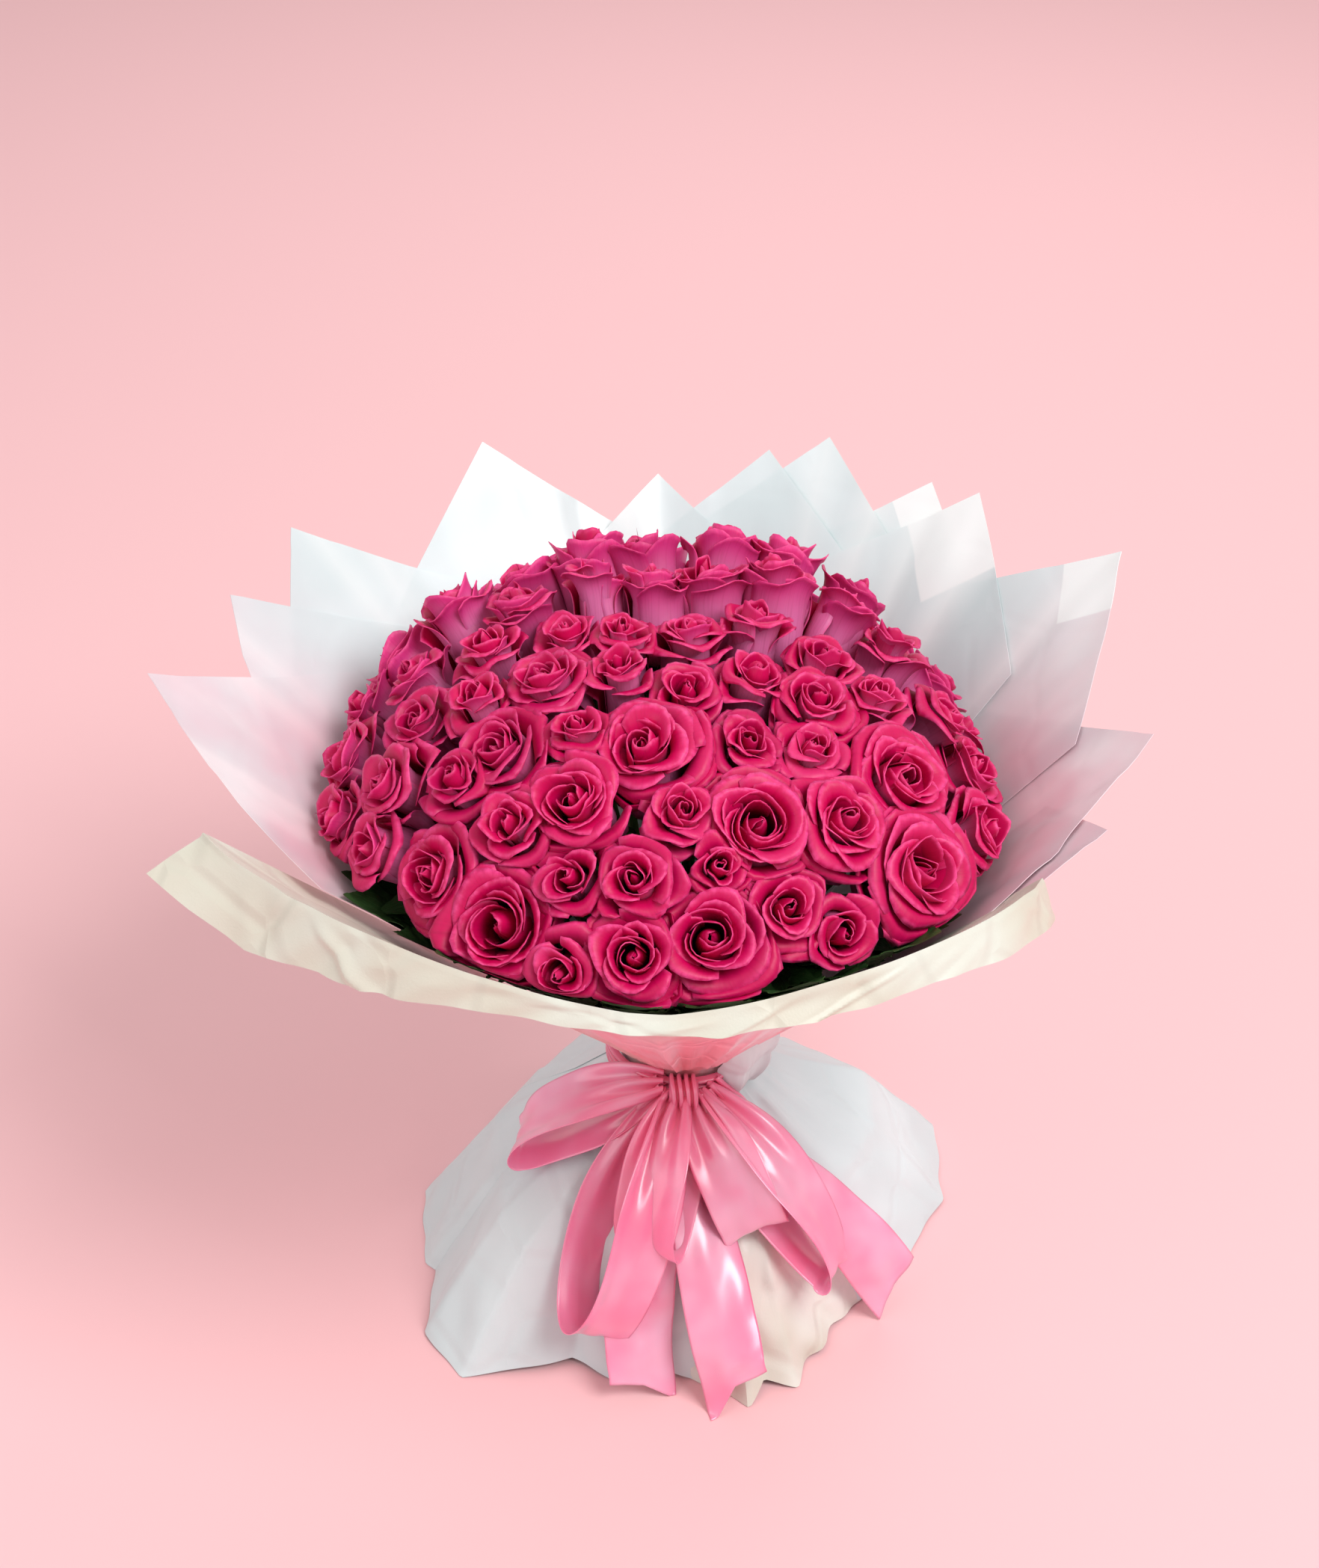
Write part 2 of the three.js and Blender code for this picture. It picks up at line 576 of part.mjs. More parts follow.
function frontWrapGeometry() {
  const columns = sectorsBetween(wrapLip[0][0], wrapLip[wrapLip.length - 1][0]);
  const radius = waistRadius + spread(0, layers.frontWrap);
  const lip = (out, up) => columns.map((a) => leaned(polar(a, along(wrapLip, a) + out, along(wrapLip, a, 2) + up)));
  return plate([
    columns.map((a) => polar(a, radius, waistBottom)),
    columns.map((a) => polar(a, radius, waistTop)),
    lip(0, -2), lip(2, 0), lip(4.5, -2.5),
    columns.map((a) => leaned(polar(a, along(wrapCuff, a), along(wrapCuff, a, 2)))),
  ], paper);
}

// Radius of the skirt's outermost layer at an azimuth and height.
function skirtRadius(azimuth, height, layer) {
  const turn = azimuth > 180 ? azimuth - 360 : azimuth;
  const top = waistRadius + spread(0, layer);
  const flare = along(skirtHem, turn) - waistRadius + skirtSpread * (layer - layers.skirtOuter);
  const knee = top + skirtKneeShare * flare;
  return along([[0, top + flare], [skirtKnee, knee], [waistBottom, top], [tieHeight * 2, top]], height);
}

function skirtGeometry({ from, to, layer }) {
  const columns = sectorsBetween(from, to);
  const row = (height) => columns.map((a) => polar(a, skirtRadius(a, height, layer), height));
  return plate([row(paper), row(skirtKnee), row(waistBottom), row(skirtTop)], paper);
}

// ---- Ribbon ----
// A strip along points of azimuth, height and lift off the skirt, gathered where it meets the knot.
function stripSolid(stations, steps, isLoop) {
  const path = new THREE.CatmullRomCurve3(stations.map(([azimuth, height, lift]) =>
    polar(azimuth, skirtRadius(azimuth, height, layers.skirtOuter) + paper + lift, height)));
  const rows = [];
  for (let k = 0; k <= steps; k += 1) {
    const u = k / steps;
    const centre = path.getPoint(u);
    const out = new THREE.Vector3(centre.x, centre.y, 0.6 * Math.hypot(centre.x, centre.y)).normalize();
    const across = path.getTangent(u).cross(out).normalize();
    const fromKnot = isLoop ? Math.min(u, 1 - u) : u;
    const half = (ribbonWidth / 2) * THREE.MathUtils.lerp(0.28, 1, THREE.MathUtils.smoothstep(fromKnot, 0, 0.42));
    rows.push([-half, half].map((offset) => centre.clone().addScaledVector(across, offset)));
  }
  return solidFrom(plate(rows, ribbonThickness));
}

function bowSolid() {
  const inner = waistRadius + spread(0, layers.skirtBack) + paper / 2 + clearance;
  const band = ringGeometry(inner, 2.2, skirtTop - waistBottom - 8);
  const knot = new THREE.SphereGeometry(1, 10, 6).scale(knotSize.x, knotSize.y, knotSize.z)
    .translate(0, -inner - knotSize.y, tieHeight);
  return joined([
    solidFrom(band), solidFrom(knot),
    ...bowLoops.map((stations) => stripSolid(stations, 9, true)),
    ...bowTails.map((stations) => stripSolid(stations, 4, false)),
  ]);
}

// ---- Group ----
const bouquet = new THREE.Group();

function addMesh(name, geometry, finish) {
  const flat = geometry.index ? geometry.toNonIndexed() : geometry;
  flat.computeVertexNormals();
  const mesh = new THREE.Mesh(flat, new THREE.MeshStandardMaterial(finishes[finish]));
  mesh.name = name;
  bouquet.add(mesh);
  return mesh;
}

clusters.forEach((cluster, index) => {
  const name = `roses_${String(index + 1).padStart(2, "0")}`;
  addMesh(name, geometryOf(joined(cluster.map(bloomSolid))), "petal");
});
addMesh("stems_and_leaves", geometryOf(stemsSolid()), "leaf");
addMesh("stem_binding", ringGeometry(bundleRadius + clearance, bindingThickness, 18), "twine");
collarSheets.forEach((sheet) => addMesh(`collar_sheet_${sheet.name}`, collarGeometry(sheet), "paper"));
addMesh("front_wrap", frontWrapGeometry(), "wrap");
skirtSheets.forEach((sheet) => addMesh(`skirt_${sheet.name}`, skirtGeometry(sheet), "paper"));
addMesh("ribbon_bow", geometryOf(bowSolid()), "ribbon");

// The origin is under the middle of the bouquet's own box.
const box = new THREE.Box3().setFromObject(bouquet);
bouquet.position.set(-(box.min.x + box.max.x) / 2, -(box.min.y + box.max.y) / 2, 0);

export default bouquet;
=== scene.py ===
"""A hand-tied bouquet of deep pink roses in white paper, with a satin bow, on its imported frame.

The tables and rules of the blooms, the paper and the ribbon are the part's own, in millimetres. Azimuth 0
is the front, -Y, and grows towards +X. Points are worked out in millimetres from the foot of the tie's
axis, and write_points moves them into the frame, in metres.
"""

import math

import bpy
import numpy as np
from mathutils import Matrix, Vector


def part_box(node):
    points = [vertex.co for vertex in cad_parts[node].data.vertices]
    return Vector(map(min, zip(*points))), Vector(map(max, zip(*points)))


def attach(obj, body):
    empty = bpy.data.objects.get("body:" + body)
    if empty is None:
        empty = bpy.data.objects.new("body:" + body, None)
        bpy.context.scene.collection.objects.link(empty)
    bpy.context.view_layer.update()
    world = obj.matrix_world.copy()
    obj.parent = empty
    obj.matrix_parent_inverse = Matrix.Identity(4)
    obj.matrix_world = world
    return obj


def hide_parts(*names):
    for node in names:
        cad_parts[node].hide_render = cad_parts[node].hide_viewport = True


bl_info = {
    "name": "Wrapped rose bouquet",
    "version": (1, 0, 0),
    "blender": (4, 5, 0),
    "location": "View3D > Sidebar > Bouquet",
    "description": "A bouquet of roses with its paper, leaves and bow, around the packed part",
    "category": "Add Mesh",
}

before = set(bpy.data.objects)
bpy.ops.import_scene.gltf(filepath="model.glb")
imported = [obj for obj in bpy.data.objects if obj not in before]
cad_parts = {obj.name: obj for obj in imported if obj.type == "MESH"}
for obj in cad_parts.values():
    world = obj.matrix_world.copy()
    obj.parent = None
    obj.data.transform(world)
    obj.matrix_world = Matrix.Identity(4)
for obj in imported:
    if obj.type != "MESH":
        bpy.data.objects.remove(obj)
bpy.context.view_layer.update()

# ---- The frame's own measures ----
MM = 0.001
BINDING = [Vector(corner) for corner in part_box("stem_binding")]
TIE_AXIS = np.array([(BINDING[0].x + BINDING[1].x) / 2, (BINDING[0].y + BINDING[1].y) / 2, 0.0])
TIE_HEIGHT = (BINDING[0].z + BINDING[1].z) / 2 / MM

# ---- Blooms, as in the part ----
HEAD_LEAN = -13
LEAN_HEIGHT = 200
DOME_RADIUS = 170
DOME_HEIGHT = 105
DOME_BASE = 298
FOCUS = np.array([0.0, 0.0, 185.0])
RIM_PLAN_RADIUS = 160
FILL_SPACING = 34
FILL_TURNS = 700
BLOOM_DEPTH = 40
TOUCH_RATIO = 0.8
BLOOMS_PER_NODE = 3
BLOOM_SEED = 2024
FILL_WIDTH, FILL_WIDTH_SPREAD = 36, 10
FILL_OPEN, FILL_OPEN_SPREAD = 0.3, 0.6
NEIGHBOUR_REACH = 100
BLOOM_REACH, BLOOM_REACH_EXTRA = 0.62, 2  # a bloom's own radius, from its width
BLOOM_SPREAD, RIM_SPREAD, GOBLET_SPREAD = 1.1, 0.18, 0.28
FREE_SHARE = 0.72  # of its room that a bloom fills before its petals are pressed in
PETAL_OVERLAP = 10  # room that the petals of neighbouring blooms share
BLOOM_MARGIN = 3.5  # from the paper's middle to the petals
PRESSED_SIDES = (-12, 0, 12)
PRESSED_SHARE = 0.88  # of what would lie beyond the paper
GOLDEN_TURN = math.pi * (3 - math.sqrt(5))
RIM_BAND = 120, 150  # distances from the head's axis over which a bloom comes to belong to the rim
# Places from front to back over which blooms lean away, close, and take a goblet's shape.
FAR_BAND, CLOSED_BAND, GOBLET_BAND = (-15, 60), (10, 90), (5, 75)
FAR_CLOSED = 0.35
LEAST_OPEN = 0.05
# What is added to a bloom's index to seed its petals, its tilt, its tints and its sepals.
PETAL_SEED, TILT_SEED, TINT_SEED, SEPAL_SEED = 7, 50, 300, 900

# Place beside the head's axis, width, and 0 for a bud to 1 for full open.
SEEN_BLOOMS = [
    # the rim, from the left round the front to the right
    (-152, 45, 32, 0.3), (-158, 5, 38, 0.5), (-161, -35, 36, 0.2), (-140, -78, 32, 0.2),
    (-108, -108, 40, 0.6), (-80, -138, 52, 0.9), (-46, -156, 30, 0.2), (-14, -160, 40, 0.7),
    (26, -156, 50, 0.8), (60, -140, 34, 0.5), (86, -134, 30, 0.1), (126, -96, 54, 0.9),
    (158, -48, 36, 0.5), (161, -5, 38, 0.6), (158, 32, 30, 0.4), (142, 68, 32, 0.5),
    # the second ring
    (-125, -15, 38, 0.6), (-130, -50, 38, 0.6), (-101, -75, 32, 0.5), (-71, -106, 33, 0.5),
    (-42, -134, 32, 0.3), (-9, -138, 34, 0.6), (24, -127, 26, 0.2), (47, -109, 50, 0.9),
    (84, -100, 44, 0.8), (116, -58, 48, 1), (111, -20, 32, 0.6), (143, 8, 34, 0.5),
    (120, 32, 34, 0.5), (-132, 72, 40, 0.8), (-122, 22, 34, 0.4),
    # the crown
    (-39, -100, 44, 0.8), (5, -112, 36, 0.5), (-74, -64, 44, 0.8), (-44, -66, 28, 0.5),
    (-3, -76, 54, 1), (40, -68, 32, 0.5), (76, -66, 33, 0.6), (80, -34, 40, 0.8),
    (-92, -29, 32, 0.4), (-58, -26, 44, 0.8), (-22, -32, 30, 0.5), (12, -34, 32, 0.5),
    (44, -28, 33, 0.6), (84, 0, 34, 0.6), (14, 2, 38, 0.6), (-20, 4, 30, 0.5),
    (48, 14, 34, 0.4), (-50, 14, 32, 0.3), (-86, 8, 34, 0.4), (-70, 42, 34, 0.6),
    (-100, 52, 34, 0.5), (-36, 42, 30, 0.3), (-4, 40, 34, 0.5), (28, 44, 36, 0.5),
    (62, 52, 38, 0.4), (94, 48, 34, 0.5),
    # the far side, which shows over the crown
    (-104, 96, 30, 0.4), (-70, 84, 36, 0.7), (-36, 82, 34, 0.6), (-4, 80, 34, 0.5),
    (30, 84, 34, 0.7), (62, 88, 34, 0.5), (96, 84, 32, 0.3), (122, 100, 34, 0.5),
]

# ---- Stems and leaves ----
BUNDLE_RADIUS = 24
STEM_TOP = BLOOM_DEPTH + 8  # from a bloom's face down to the top of its stem
HIP_DEPTH = BLOOM_DEPTH - 1
HIP_RADII = [5.2, 6.2, 2.0]  # of the swelling under a hip, of the hip, and of its top
STEM_RADIUS = 2.3
LEAF_LENGTH = 62
LEAF_WIDTH = 32
LEAF_MARGIN = 3.2
LEAF_RIM_RADIUS = 138
LEAF_TURN = 8
LEAF_FOOT = 282
STALK_ROOT = 0.62
SIDE_LEAF_FALL = 24  # how far the leaves at the sides hide behind the blooms
FILLER_REACH = 80
FILLER_ROOT = 0.74
STEM_SIDES, STEM_RINGS = 8, 14
LEAF_STALK_RADIUS = 0.9
LEAF_THICKNESS = 0.4
SEPAL_COUNT = 5
SEPAL_THICKNESS = 0.5
SEPAL_LEAN, SEPAL_POWER = 0.9, 1.4  # angle at its foot in radians, and how late a sepal bends over

# ---- Paper ----
PAPER_LAYER = 0.8
LAYER_PITCH = 1.15
LAYER_SPREAD = 0.9
WAIST_RADIUS = 28
WAIST_BOTTOM = TIE_HEIGHT - 14
WAIST_TOP = TIE_HEIGHT + 10
COLLAR_SLOPE = 0.95
COLLAR_SPAN = 300
SECTOR = 7.5
TIP_CORNER = math.radians(39)  # half the angle of a sheet's pointed corner
PLEAT_SLANT = 320  # slant distance over which the collar's folds grow to their full height
CONE_UNROLLED = COLLAR_SLOPE / math.hypot(1, COLLAR_SLOPE)
FRONT_WRAP_LAYER = 4
SKIRT_INNER, SKIRT_OUTER, SKIRT_BACK = 5.2, 6.7, 8.2
SKIRT_TOP = TIE_HEIGHT + 8
SKIRT_HEAD = 28, 96  # azimuths between which a skirt sheet's gathered head shows above the tie
SKIRT_HEAD_HEIGHT, SKIRT_HEAD_SWELL = 48, 13
SKIRT_KNEE = 66
SKIRT_KNEE_SHARE = 0.62
SKIRT_SPREAD = 2.5
SKIRT_PRESSED = 0.4  # how far apart the skirt's layers lie at the tie
SKIRT_FALLS = [0, 0.25 * SKIRT_KNEE, SKIRT_KNEE, 0.75 * WAIST_BOTTOM, WAIST_BOTTOM]
PAPER_SMOOTH = 40  # steepest angle between faces that is shaded smooth, in degrees

# Name, tip azimuth, tip slant height, half width in sectors, layer.
COLLAR_SHEETS = [
    ("a", -90, 324, 4, 0), ("b", -112.5, 308, 4, 1), ("c", -127.5, 316, 4, 2), ("d", -157.5, 324, 3, 3),
    ("e", 180, 299, 2, 0), ("f", 165, 316, 2, 1), ("g", 157.5, 328, 3, 2), ("h", 142.5, 317, 3, 3),
    ("i", 135, 325, 3, 0), ("j", 112.5, 339, 3, 1), ("k", 82.5, 306, 4, 2), ("l", 67.5, 283, 2, 3),
]

DOUBLED_TIPS = {"h": 24, "i": 44, "j": 34}  # how far a second ply shows inside a sheet's tip
SHOW_THROUGH_AZIMUTHS = (76, 1), (-80, 0.9)  # azimuths where the blooms' pink is painted on the collar as if seen through it, and how much

# The front wrap's upper edge and the edge of its turned-down cuff: azimuth, radius, height.
WRAP_LIP = [
    (-67, 236, 352), (-60, 226, 348), (-52.5, 216, 346), (-37.5, 207, 346), (-22.5, 202, 342),
    (0, 200, 331), (22.5, 202, 341), (37.5, 207, 344), (52.5, 212, 342), (60, 206, 332),
]
WRAP_CUFF = [
    (-67, 268, 337), (-60, 250, 324), (-56, 243, 315), (-52.5, 237, 319), (-37.5, 219, 324),
    (-22.5, 211, 328), (0, 207, 325), (22.5, 213, 327), (37.5, 217, 330), (52.5, 222, 322), (60, 216, 312),
]
# Creases across the cuff: azimuth at the lip, how far they drift, half width and relief.
CUFF_CREASES = [
    (-47, 9, 2.2, 3.2), (-41, -4, 4.5, -2.2), (-58, 3, 2.5, 1.5), (-28, -6, 3.0, 1.2), (-9, 8, 3.5, -1.1),
    (16, -9, 2.5, 1.4), (33, -14, 2.2, 1.8), (44, -9, 3.0, -1.6), (54, 5, 2.5, 1.8),
]

# Radius of the skirt's hem by azimuth, under the ribbon.
SKIRT_HEM = [
    (-180, 140), (-150, 146), (-120, 142), (-90, 152), (-60, 166), (-45, 152), (-30, 128),
    (0, 122), (15, 144), (30, 138), (52.5, 120), (75, 132), (97.5, 156), (112.5, 168),
    (135, 148), (157.5, 134), (180, 140),
]

# The skirt's sheets: name, layer, crinkle, and the corners of the hem, each an azimuth, radius and height.
SKIRT_SHEETS = [
    ("left_back", SKIRT_INNER, 0.3, [
        (-124, 142, 0), (-98, 152, 0), (-84, 148, 0), (-76, 152, 0), (-68, 142, 0)]),
    ("left_front", SKIRT_OUTER, 0.35, [
        (-75, 147, 1), (-58, 172, 1), (-45, 170, 0), (-38, 150, 3), (-29, 128, 4), (-17, 131, 0),
        (-4, 123, 3), (3, 122, 0)]),
    ("right_front", SKIRT_INNER, 1.0, [
        (-9, 116, 1), (3, 120, 0), (14, 145, 0), (19, 136, 5), (26, 141, 0), (38, 128, 3), (60, 118, 0)]),
    ("right_back", SKIRT_OUTER, 0.3, [
        (52, 116, 2), (68, 130, 0), (95, 156, 1), (117, 170, 0), (143, 148, 0)]),
    ("back", SKIRT_BACK, 0.4, [
        (135, 146, 0), (160, 134, 2), (186, 142, 0), (212, 148, 1), (246, 142, 0)]),
]

# ---- Ribbon: azimuth, height, and how far it stands off the skirt ----
RIBBON_WIDTH = 38
RIBBON_COLUMNS, RIBBON_PLEATS = 30, 2.5
LOOP_ROWS, TAIL_ROWS = 90, 72
LOOP_CUP, TAIL_CUP = 0.3, -0.25
BAND_ROWS, BAND_COLUMNS, BAND_PLEATS = 96, 32, 4
BAND_SHARE, KNOT_SHARE = 0.32, 0.33  # of the ribbon's width, as drawn in round the tie and over the knot
BAND_CLEAR = 1.2
KNOT_STAND, KNOT_RADIUS, KNOT_RISE = 6, 7, 2
# Name, the loop's foot at the knot and its far end (azimuth, height, distance off the skirt), how far its
# strands part, how far its opening turns to the front, and its twist, in degrees.
BOW_LOOPS = [
    ("left", (-15, 145, 7), (-70, 92, 18), 14, -10, 18),
    ("centre_left", (-8, 139, 8), (-22, 37, 19), 28, 47, -12),
    ("right", (14, 141, 8), (41, 54, 18), 14, 14, -20),
    ("right_inner", (6, 139, 9), (23, 84, 17), 12, -20, 18),
    ("centre", (-3, 141, 12), (-10, 80, 26), 15, -16, 14),
]
# Name, twist in degrees, how far its cut end slants, and its stations.
BOW_TAILS = [
    ("left", -30, -14, [(-6, 132, 4), (-11, 90, 8), (-12, 45, 8), (-9, 8, 10)]),
    ("centre", 24, 30, [(2, 132, 5), (6, 96, 17), (9, 50, 16), (11, 15, 12)]),
    ("right", 34, 16, [(18, 143, 7), (38, 116, 18), (51, 66, 21), (59, 18, 17)]),
]

# ---- Photograph's viewing angle ----
IMAGE_HEIGHT = 2097
FOCAL_PIXELS = 3515
SENSOR = 36
CAMERA_ELEVATION = 36
CAMERA_DISTANCE = 1350
CAMERA_TARGET = (-13, 0, 313)

# ---- Stage, in metres and watts ----
FLOOR_SIZE = 12
LIGHT_TARGET = Vector((0, 0, 0.25))
# Name, place, size and power.
LIGHTS = [
    ("key_light", (1.43, -1.2, 2.65), 1.5, 66),
    ("fill_light", (-1.5, -0.9, 1.1), 1.6, 8),
    ("back_light", (0.3, 1.7, 1.5), 1.4, 8),
]
ROOM_COLOUR = (1.0, 0.985, 0.98, 1)
ROOM_STRENGTH = 0.57

# ---- Shared limits of the pieces ----
STACK_STEP = 1.0  # metres from one flat petal or sepal to the next in a stack
LOWEST = 0.05  # least height of stems and leaves above the floor
RIBBON_LOWEST = 0.6


# ---- Small helpers ----
def polar(azimuth, radius, height):
    """Points at azimuths in degrees, as an array with x, y and z in its last axis."""
    angle = np.radians(azimuth)
    parts = np.broadcast_arrays(radius * np.sin(angle), -radius * np.cos(angle), height)
    return np.stack(parts, axis=-1).astype(float)


def near_turn(azimuth):
    """The same azimuth, from -180 to 180."""
    return (azimuth + 180) % 360 - 180


def unit(vectors):
    return vectors / np.linalg.norm(vectors, axis=-1, keepdims=True)


def along(rows, x, column=1):
    table = np.array(rows, float)
    return np.interp(x, table[:, 0], table[:, column])


def rounded(rows, x, column=1, reach=4):
    """The table's value at x, with its corners rounded over reach on each side."""
    offsets = np.linspace(-reach, reach, 5)
    return np.mean([along(rows, np.asarray(x) + offset, column) for offset in offsets], axis=0)


def smoothstep(x, low=0.0, high=1.0):
    share = np.clip((np.asarray(x, float) - low) / (high - low), 0, 1)
    return share * share * (3 - 2 * share)


def seeded_random(seed):
    """The same sequence of numbers from 0 to 1 as in the part."""
    state = seed
    while True:
        state = (state * 16807) % 2147483647
        yield state / 2147483647


def select_only(*objects):
    bpy.ops.object.select_all(action="DESELECT")
    for obj in objects:
        obj.select_set(True)
    bpy.context.view_layer.objects.active = objects[0]


def add_grid(name, columns, rows):
    """A flat grid whose x and y run from -1 to 1."""
    bpy.ops.object.select_all(action="DESELECT")
    bpy.ops.mesh.primitive_grid_add(x_subdivisions=columns, y_subdivisions=rows, size=2)
    bpy.context.object.name = name
    return bpy.context.object


def apply_modifier(obj, kind, **settings):
    select_only(obj)
    modifier = obj.modifiers.new(kind.title(), kind)
    for key, value in settings.items():
        setattr(modifier, key, value)
    bpy.ops.object.modifier_apply(modifier=modifier.name)


def copy_of(obj, name):
    """A copy with its own mesh."""
    copy = obj.copy()
    copy.data = obj.data.copy()
    copy.name = name
    bpy.context.scene.collection.objects.link(copy)
    return copy


def join(objects, name):
    select_only(*objects)
    if len(objects) > 1:
        bpy.ops.object.join()
    objects[0].name = name
    return objects[0]


def remove(obj):
    bpy.data.objects.remove(obj, do_unlink=True)


def read_points(obj):
    points = np.empty(3 * len(obj.data.vertices))
    obj.data.vertices.foreach_get("co", points)
    return points.reshape(-1, 3)


def placed_points(obj):
    """A mesh's vertices in millimetres from the foot of the tie's axis."""
    return (read_points(obj) - TIE_AXIS) / MM


def write_points(obj, points):
    """Puts a mesh's vertices at points given in millimetres from the foot of the tie's axis."""
    placed = np.asarray(points) * MM + TIE_AXIS
    obj.data.vertices.foreach_set("co", placed.astype(np.float32).ravel())
    obj.data.update()


def add_attribute(obj, name, values):
    attribute = obj.data.attributes.new(name, "FLOAT", "POINT")
    attribute.data.foreach_set("value", np.asarray(values, np.float32))


def grid_shares(flat):
    """The places of a flat grid's points: u from -1 to 1 across it, and v from 0 to 1 along it."""
    return flat[:, 0], (flat[:, 1] + 1) / 2


def grid_cells(flat, columns, rows):
    """The column and the row of each of a flat grid's points, counted from 0."""
    u, v = grid_shares(flat)
    return np.round((u + 1) / 2 * columns).astype(int), np.round(v * rows).astype(int)


def flat_stack(name, columns, rows, count, thickness):
    """A stack of flat petals or sepals, one modelled and the others repeated from it."""
    stack = add_grid(name, columns, rows)
    apply_modifier(stack, "SOLIDIFY", thickness=thickness * MM, offset=0)
    apply_modifier(stack, "ARRAY", count=count, use_relative_offset=False, use_constant_offset=True,
                   constant_offset_displace=(0, 0, STACK_STEP))
    return stack


def stack_places(flat):
    """Which sheet of a flat stack each point is on, and how far it stands off that sheet's middle."""
    index = np.round(flat[:, 2] / STACK_STEP).astype(int)
    return index, flat[:, 2] - index * STACK_STEP


def finish_piece(obj, material, node=None, smooth_angle=None):
    """Gives a piece its material, shading and body, and hides the CAD node that it stands for."""
    obj.data.materials.clear()
    obj.data.materials.append(material)
    select_only(obj)
    if smooth_angle is None:
        bpy.ops.object.shade_smooth()
    else:
        bpy.ops.object.shade_smooth_by_angle(angle=math.radians(smooth_angle))
    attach(obj, "root")
    if node:
        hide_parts(node)
    return obj


def sheet_from_grid(name, columns, rows, place, thickness):
    """A thin closed sheet: place(u, v) gives the middle of it, for u from -1 to 1 and v from 0 to 1."""
    sheet = add_grid(name, columns, rows)
    write_points(sheet, place(*grid_shares(read_points(sheet))))
    apply_modifier(sheet, "SOLIDIFY", thickness=thickness * MM, offset=0, use_even_offset=False)
    return sheet


# ---- Places of the blooms, by the part's own rules ----
def dome_point(x, y):
    reach = min(1, math.hypot(x, y) / DOME_RADIUS)
    return np.array([HEAD_LEAN + x, y, DOME_BASE + DOME_HEIGHT * math.sqrt(1 - reach * reach)])


def head_azimuth(point):
    """Azimuth of a point about the head's own axis."""
    return math.degrees(math.atan2(point[0] - HEAD_LEAN, -point[1]))


def head_radius(point):
    return math.hypot(point[0] - HEAD_LEAN, point[1])


def place_blooms():
    random = seeded_random(BLOOM_SEED)
    blooms = [{"face": dome_point(x, y), "width": width, "open": opened}
              for x, y, width, opened in SEEN_BLOOMS]
    for k in range(FILL_TURNS, 0, -1):
        radius = RIM_PLAN_RADIUS * math.sqrt(k / FILL_TURNS)
        face = dome_point(radius * math.cos(k * GOLDEN_TURN), radius * math.sin(k * GOLDEN_TURN))
        if min(np.linalg.norm(other["face"] - face) for other in blooms) < FILL_SPACING:
            continue
        width = FILL_WIDTH + FILL_WIDTH_SPREAD * next(random)
        blooms.append({"face": face, "width": width, "open": FILL_OPEN + FILL_OPEN_SPREAD * next(random)})
    for index, bloom in enumerate(blooms):
        bloom["index"] = index
        bloom["axis"] = unit(bloom["face"] - FOCUS)
        bloom["radius"] = BLOOM_REACH * bloom["width"] + BLOOM_REACH_EXTRA
        bloom["turn"] = 2 * math.pi * next(random)
        side = np.cross((0, 0, 1), bloom["axis"])
        if np.linalg.norm(side) < 0.05:
            side = np.array([1.0, 0, 0])
        side = unit(side - bloom["axis"] * (side @ bloom["axis"]))
        bloom["side"] = side
        bloom["up"] = np.cross(bloom["axis"], side)
        bloom["azimuth"] = head_azimuth(bloom["face"])
        closed = FAR_CLOSED * float(smoothstep(bloom["face"][1], *CLOSED_BAND))
        bloom["form"] = max(LEAST_OPEN, bloom["open"] - closed)
        bloom["rim"] = float(smoothstep(head_radius(bloom["face"]), *RIM_BAND))
        bloom["goblet"] = float(smoothstep(bloom["face"][1], *GOBLET_BAND))
        bloom["spread"] = BLOOM_SPREAD + max(RIM_SPREAD * bloom["rim"], GOBLET_SPREAD * bloom["goblet"])
    return blooms


def cluster_blooms(blooms):
    """Neighbouring blooms share a node, up to BLOOMS_PER_NODE of them."""
    free = list(blooms)
    clusters = []

    def ratio(one, other):
        return np.linalg.norm(one["face"] - other["face"]) / (one["radius"] + other["radius"])

    for bloom in blooms:
        if not any(bloom is one for one in free):
            continue
        cluster = [bloom]
        free = [one for one in free if one is not bloom]
        while len(cluster) < BLOOMS_PER_NODE and free:
            near = min(free, key=lambda other: min(ratio(one, other) for one in cluster))
            if min(ratio(one, near) for one in cluster) > TOUCH_RATIO:
                break
            cluster.append(near)
            free = [one for one in free if one is not near]
        clusters.append(cluster)
    return clusters


BLOOMS = place_blooms()
CLUSTERS = cluster_blooms(BLOOMS)


# ---- Paper surfaces, by the part's own rules ----
def leaned(points):
    points[..., 0] += HEAD_LEAN * np.maximum(0, points[..., 2] - WAIST_TOP) / LEAN_HEIGHT
    return points


def layer_spread(slant, layer):
    return layer * (LAYER_PITCH + LAYER_SPREAD * np.clip(np.asarray(slant) / COLLAR_SPAN, 0, 1))


def collar_point(azimuth, slant, layer, lift=0.0):
    """Point at a slant distance above the waist, lifted off its layer along the layer's normal."""
    along_cone = 1 / math.hypot(1, COLLAR_SLOPE)
    rise = slant * along_cone - lift * COLLAR_SLOPE * along_cone
    radius = WAIST_RADIUS + slant * along_cone * COLLAR_SLOPE + layer_spread(slant, layer) + lift * along_cone
    return leaned(polar(azimuth, radius, WAIST_TOP + rise))


def edge_at(rows, azimuth, reach=4):
    """Radius and height of a rounded edge at an azimuth."""
    return rounded(rows, azimuth, reach=reach), rounded(rows, azimuth, 2, reach=reach)


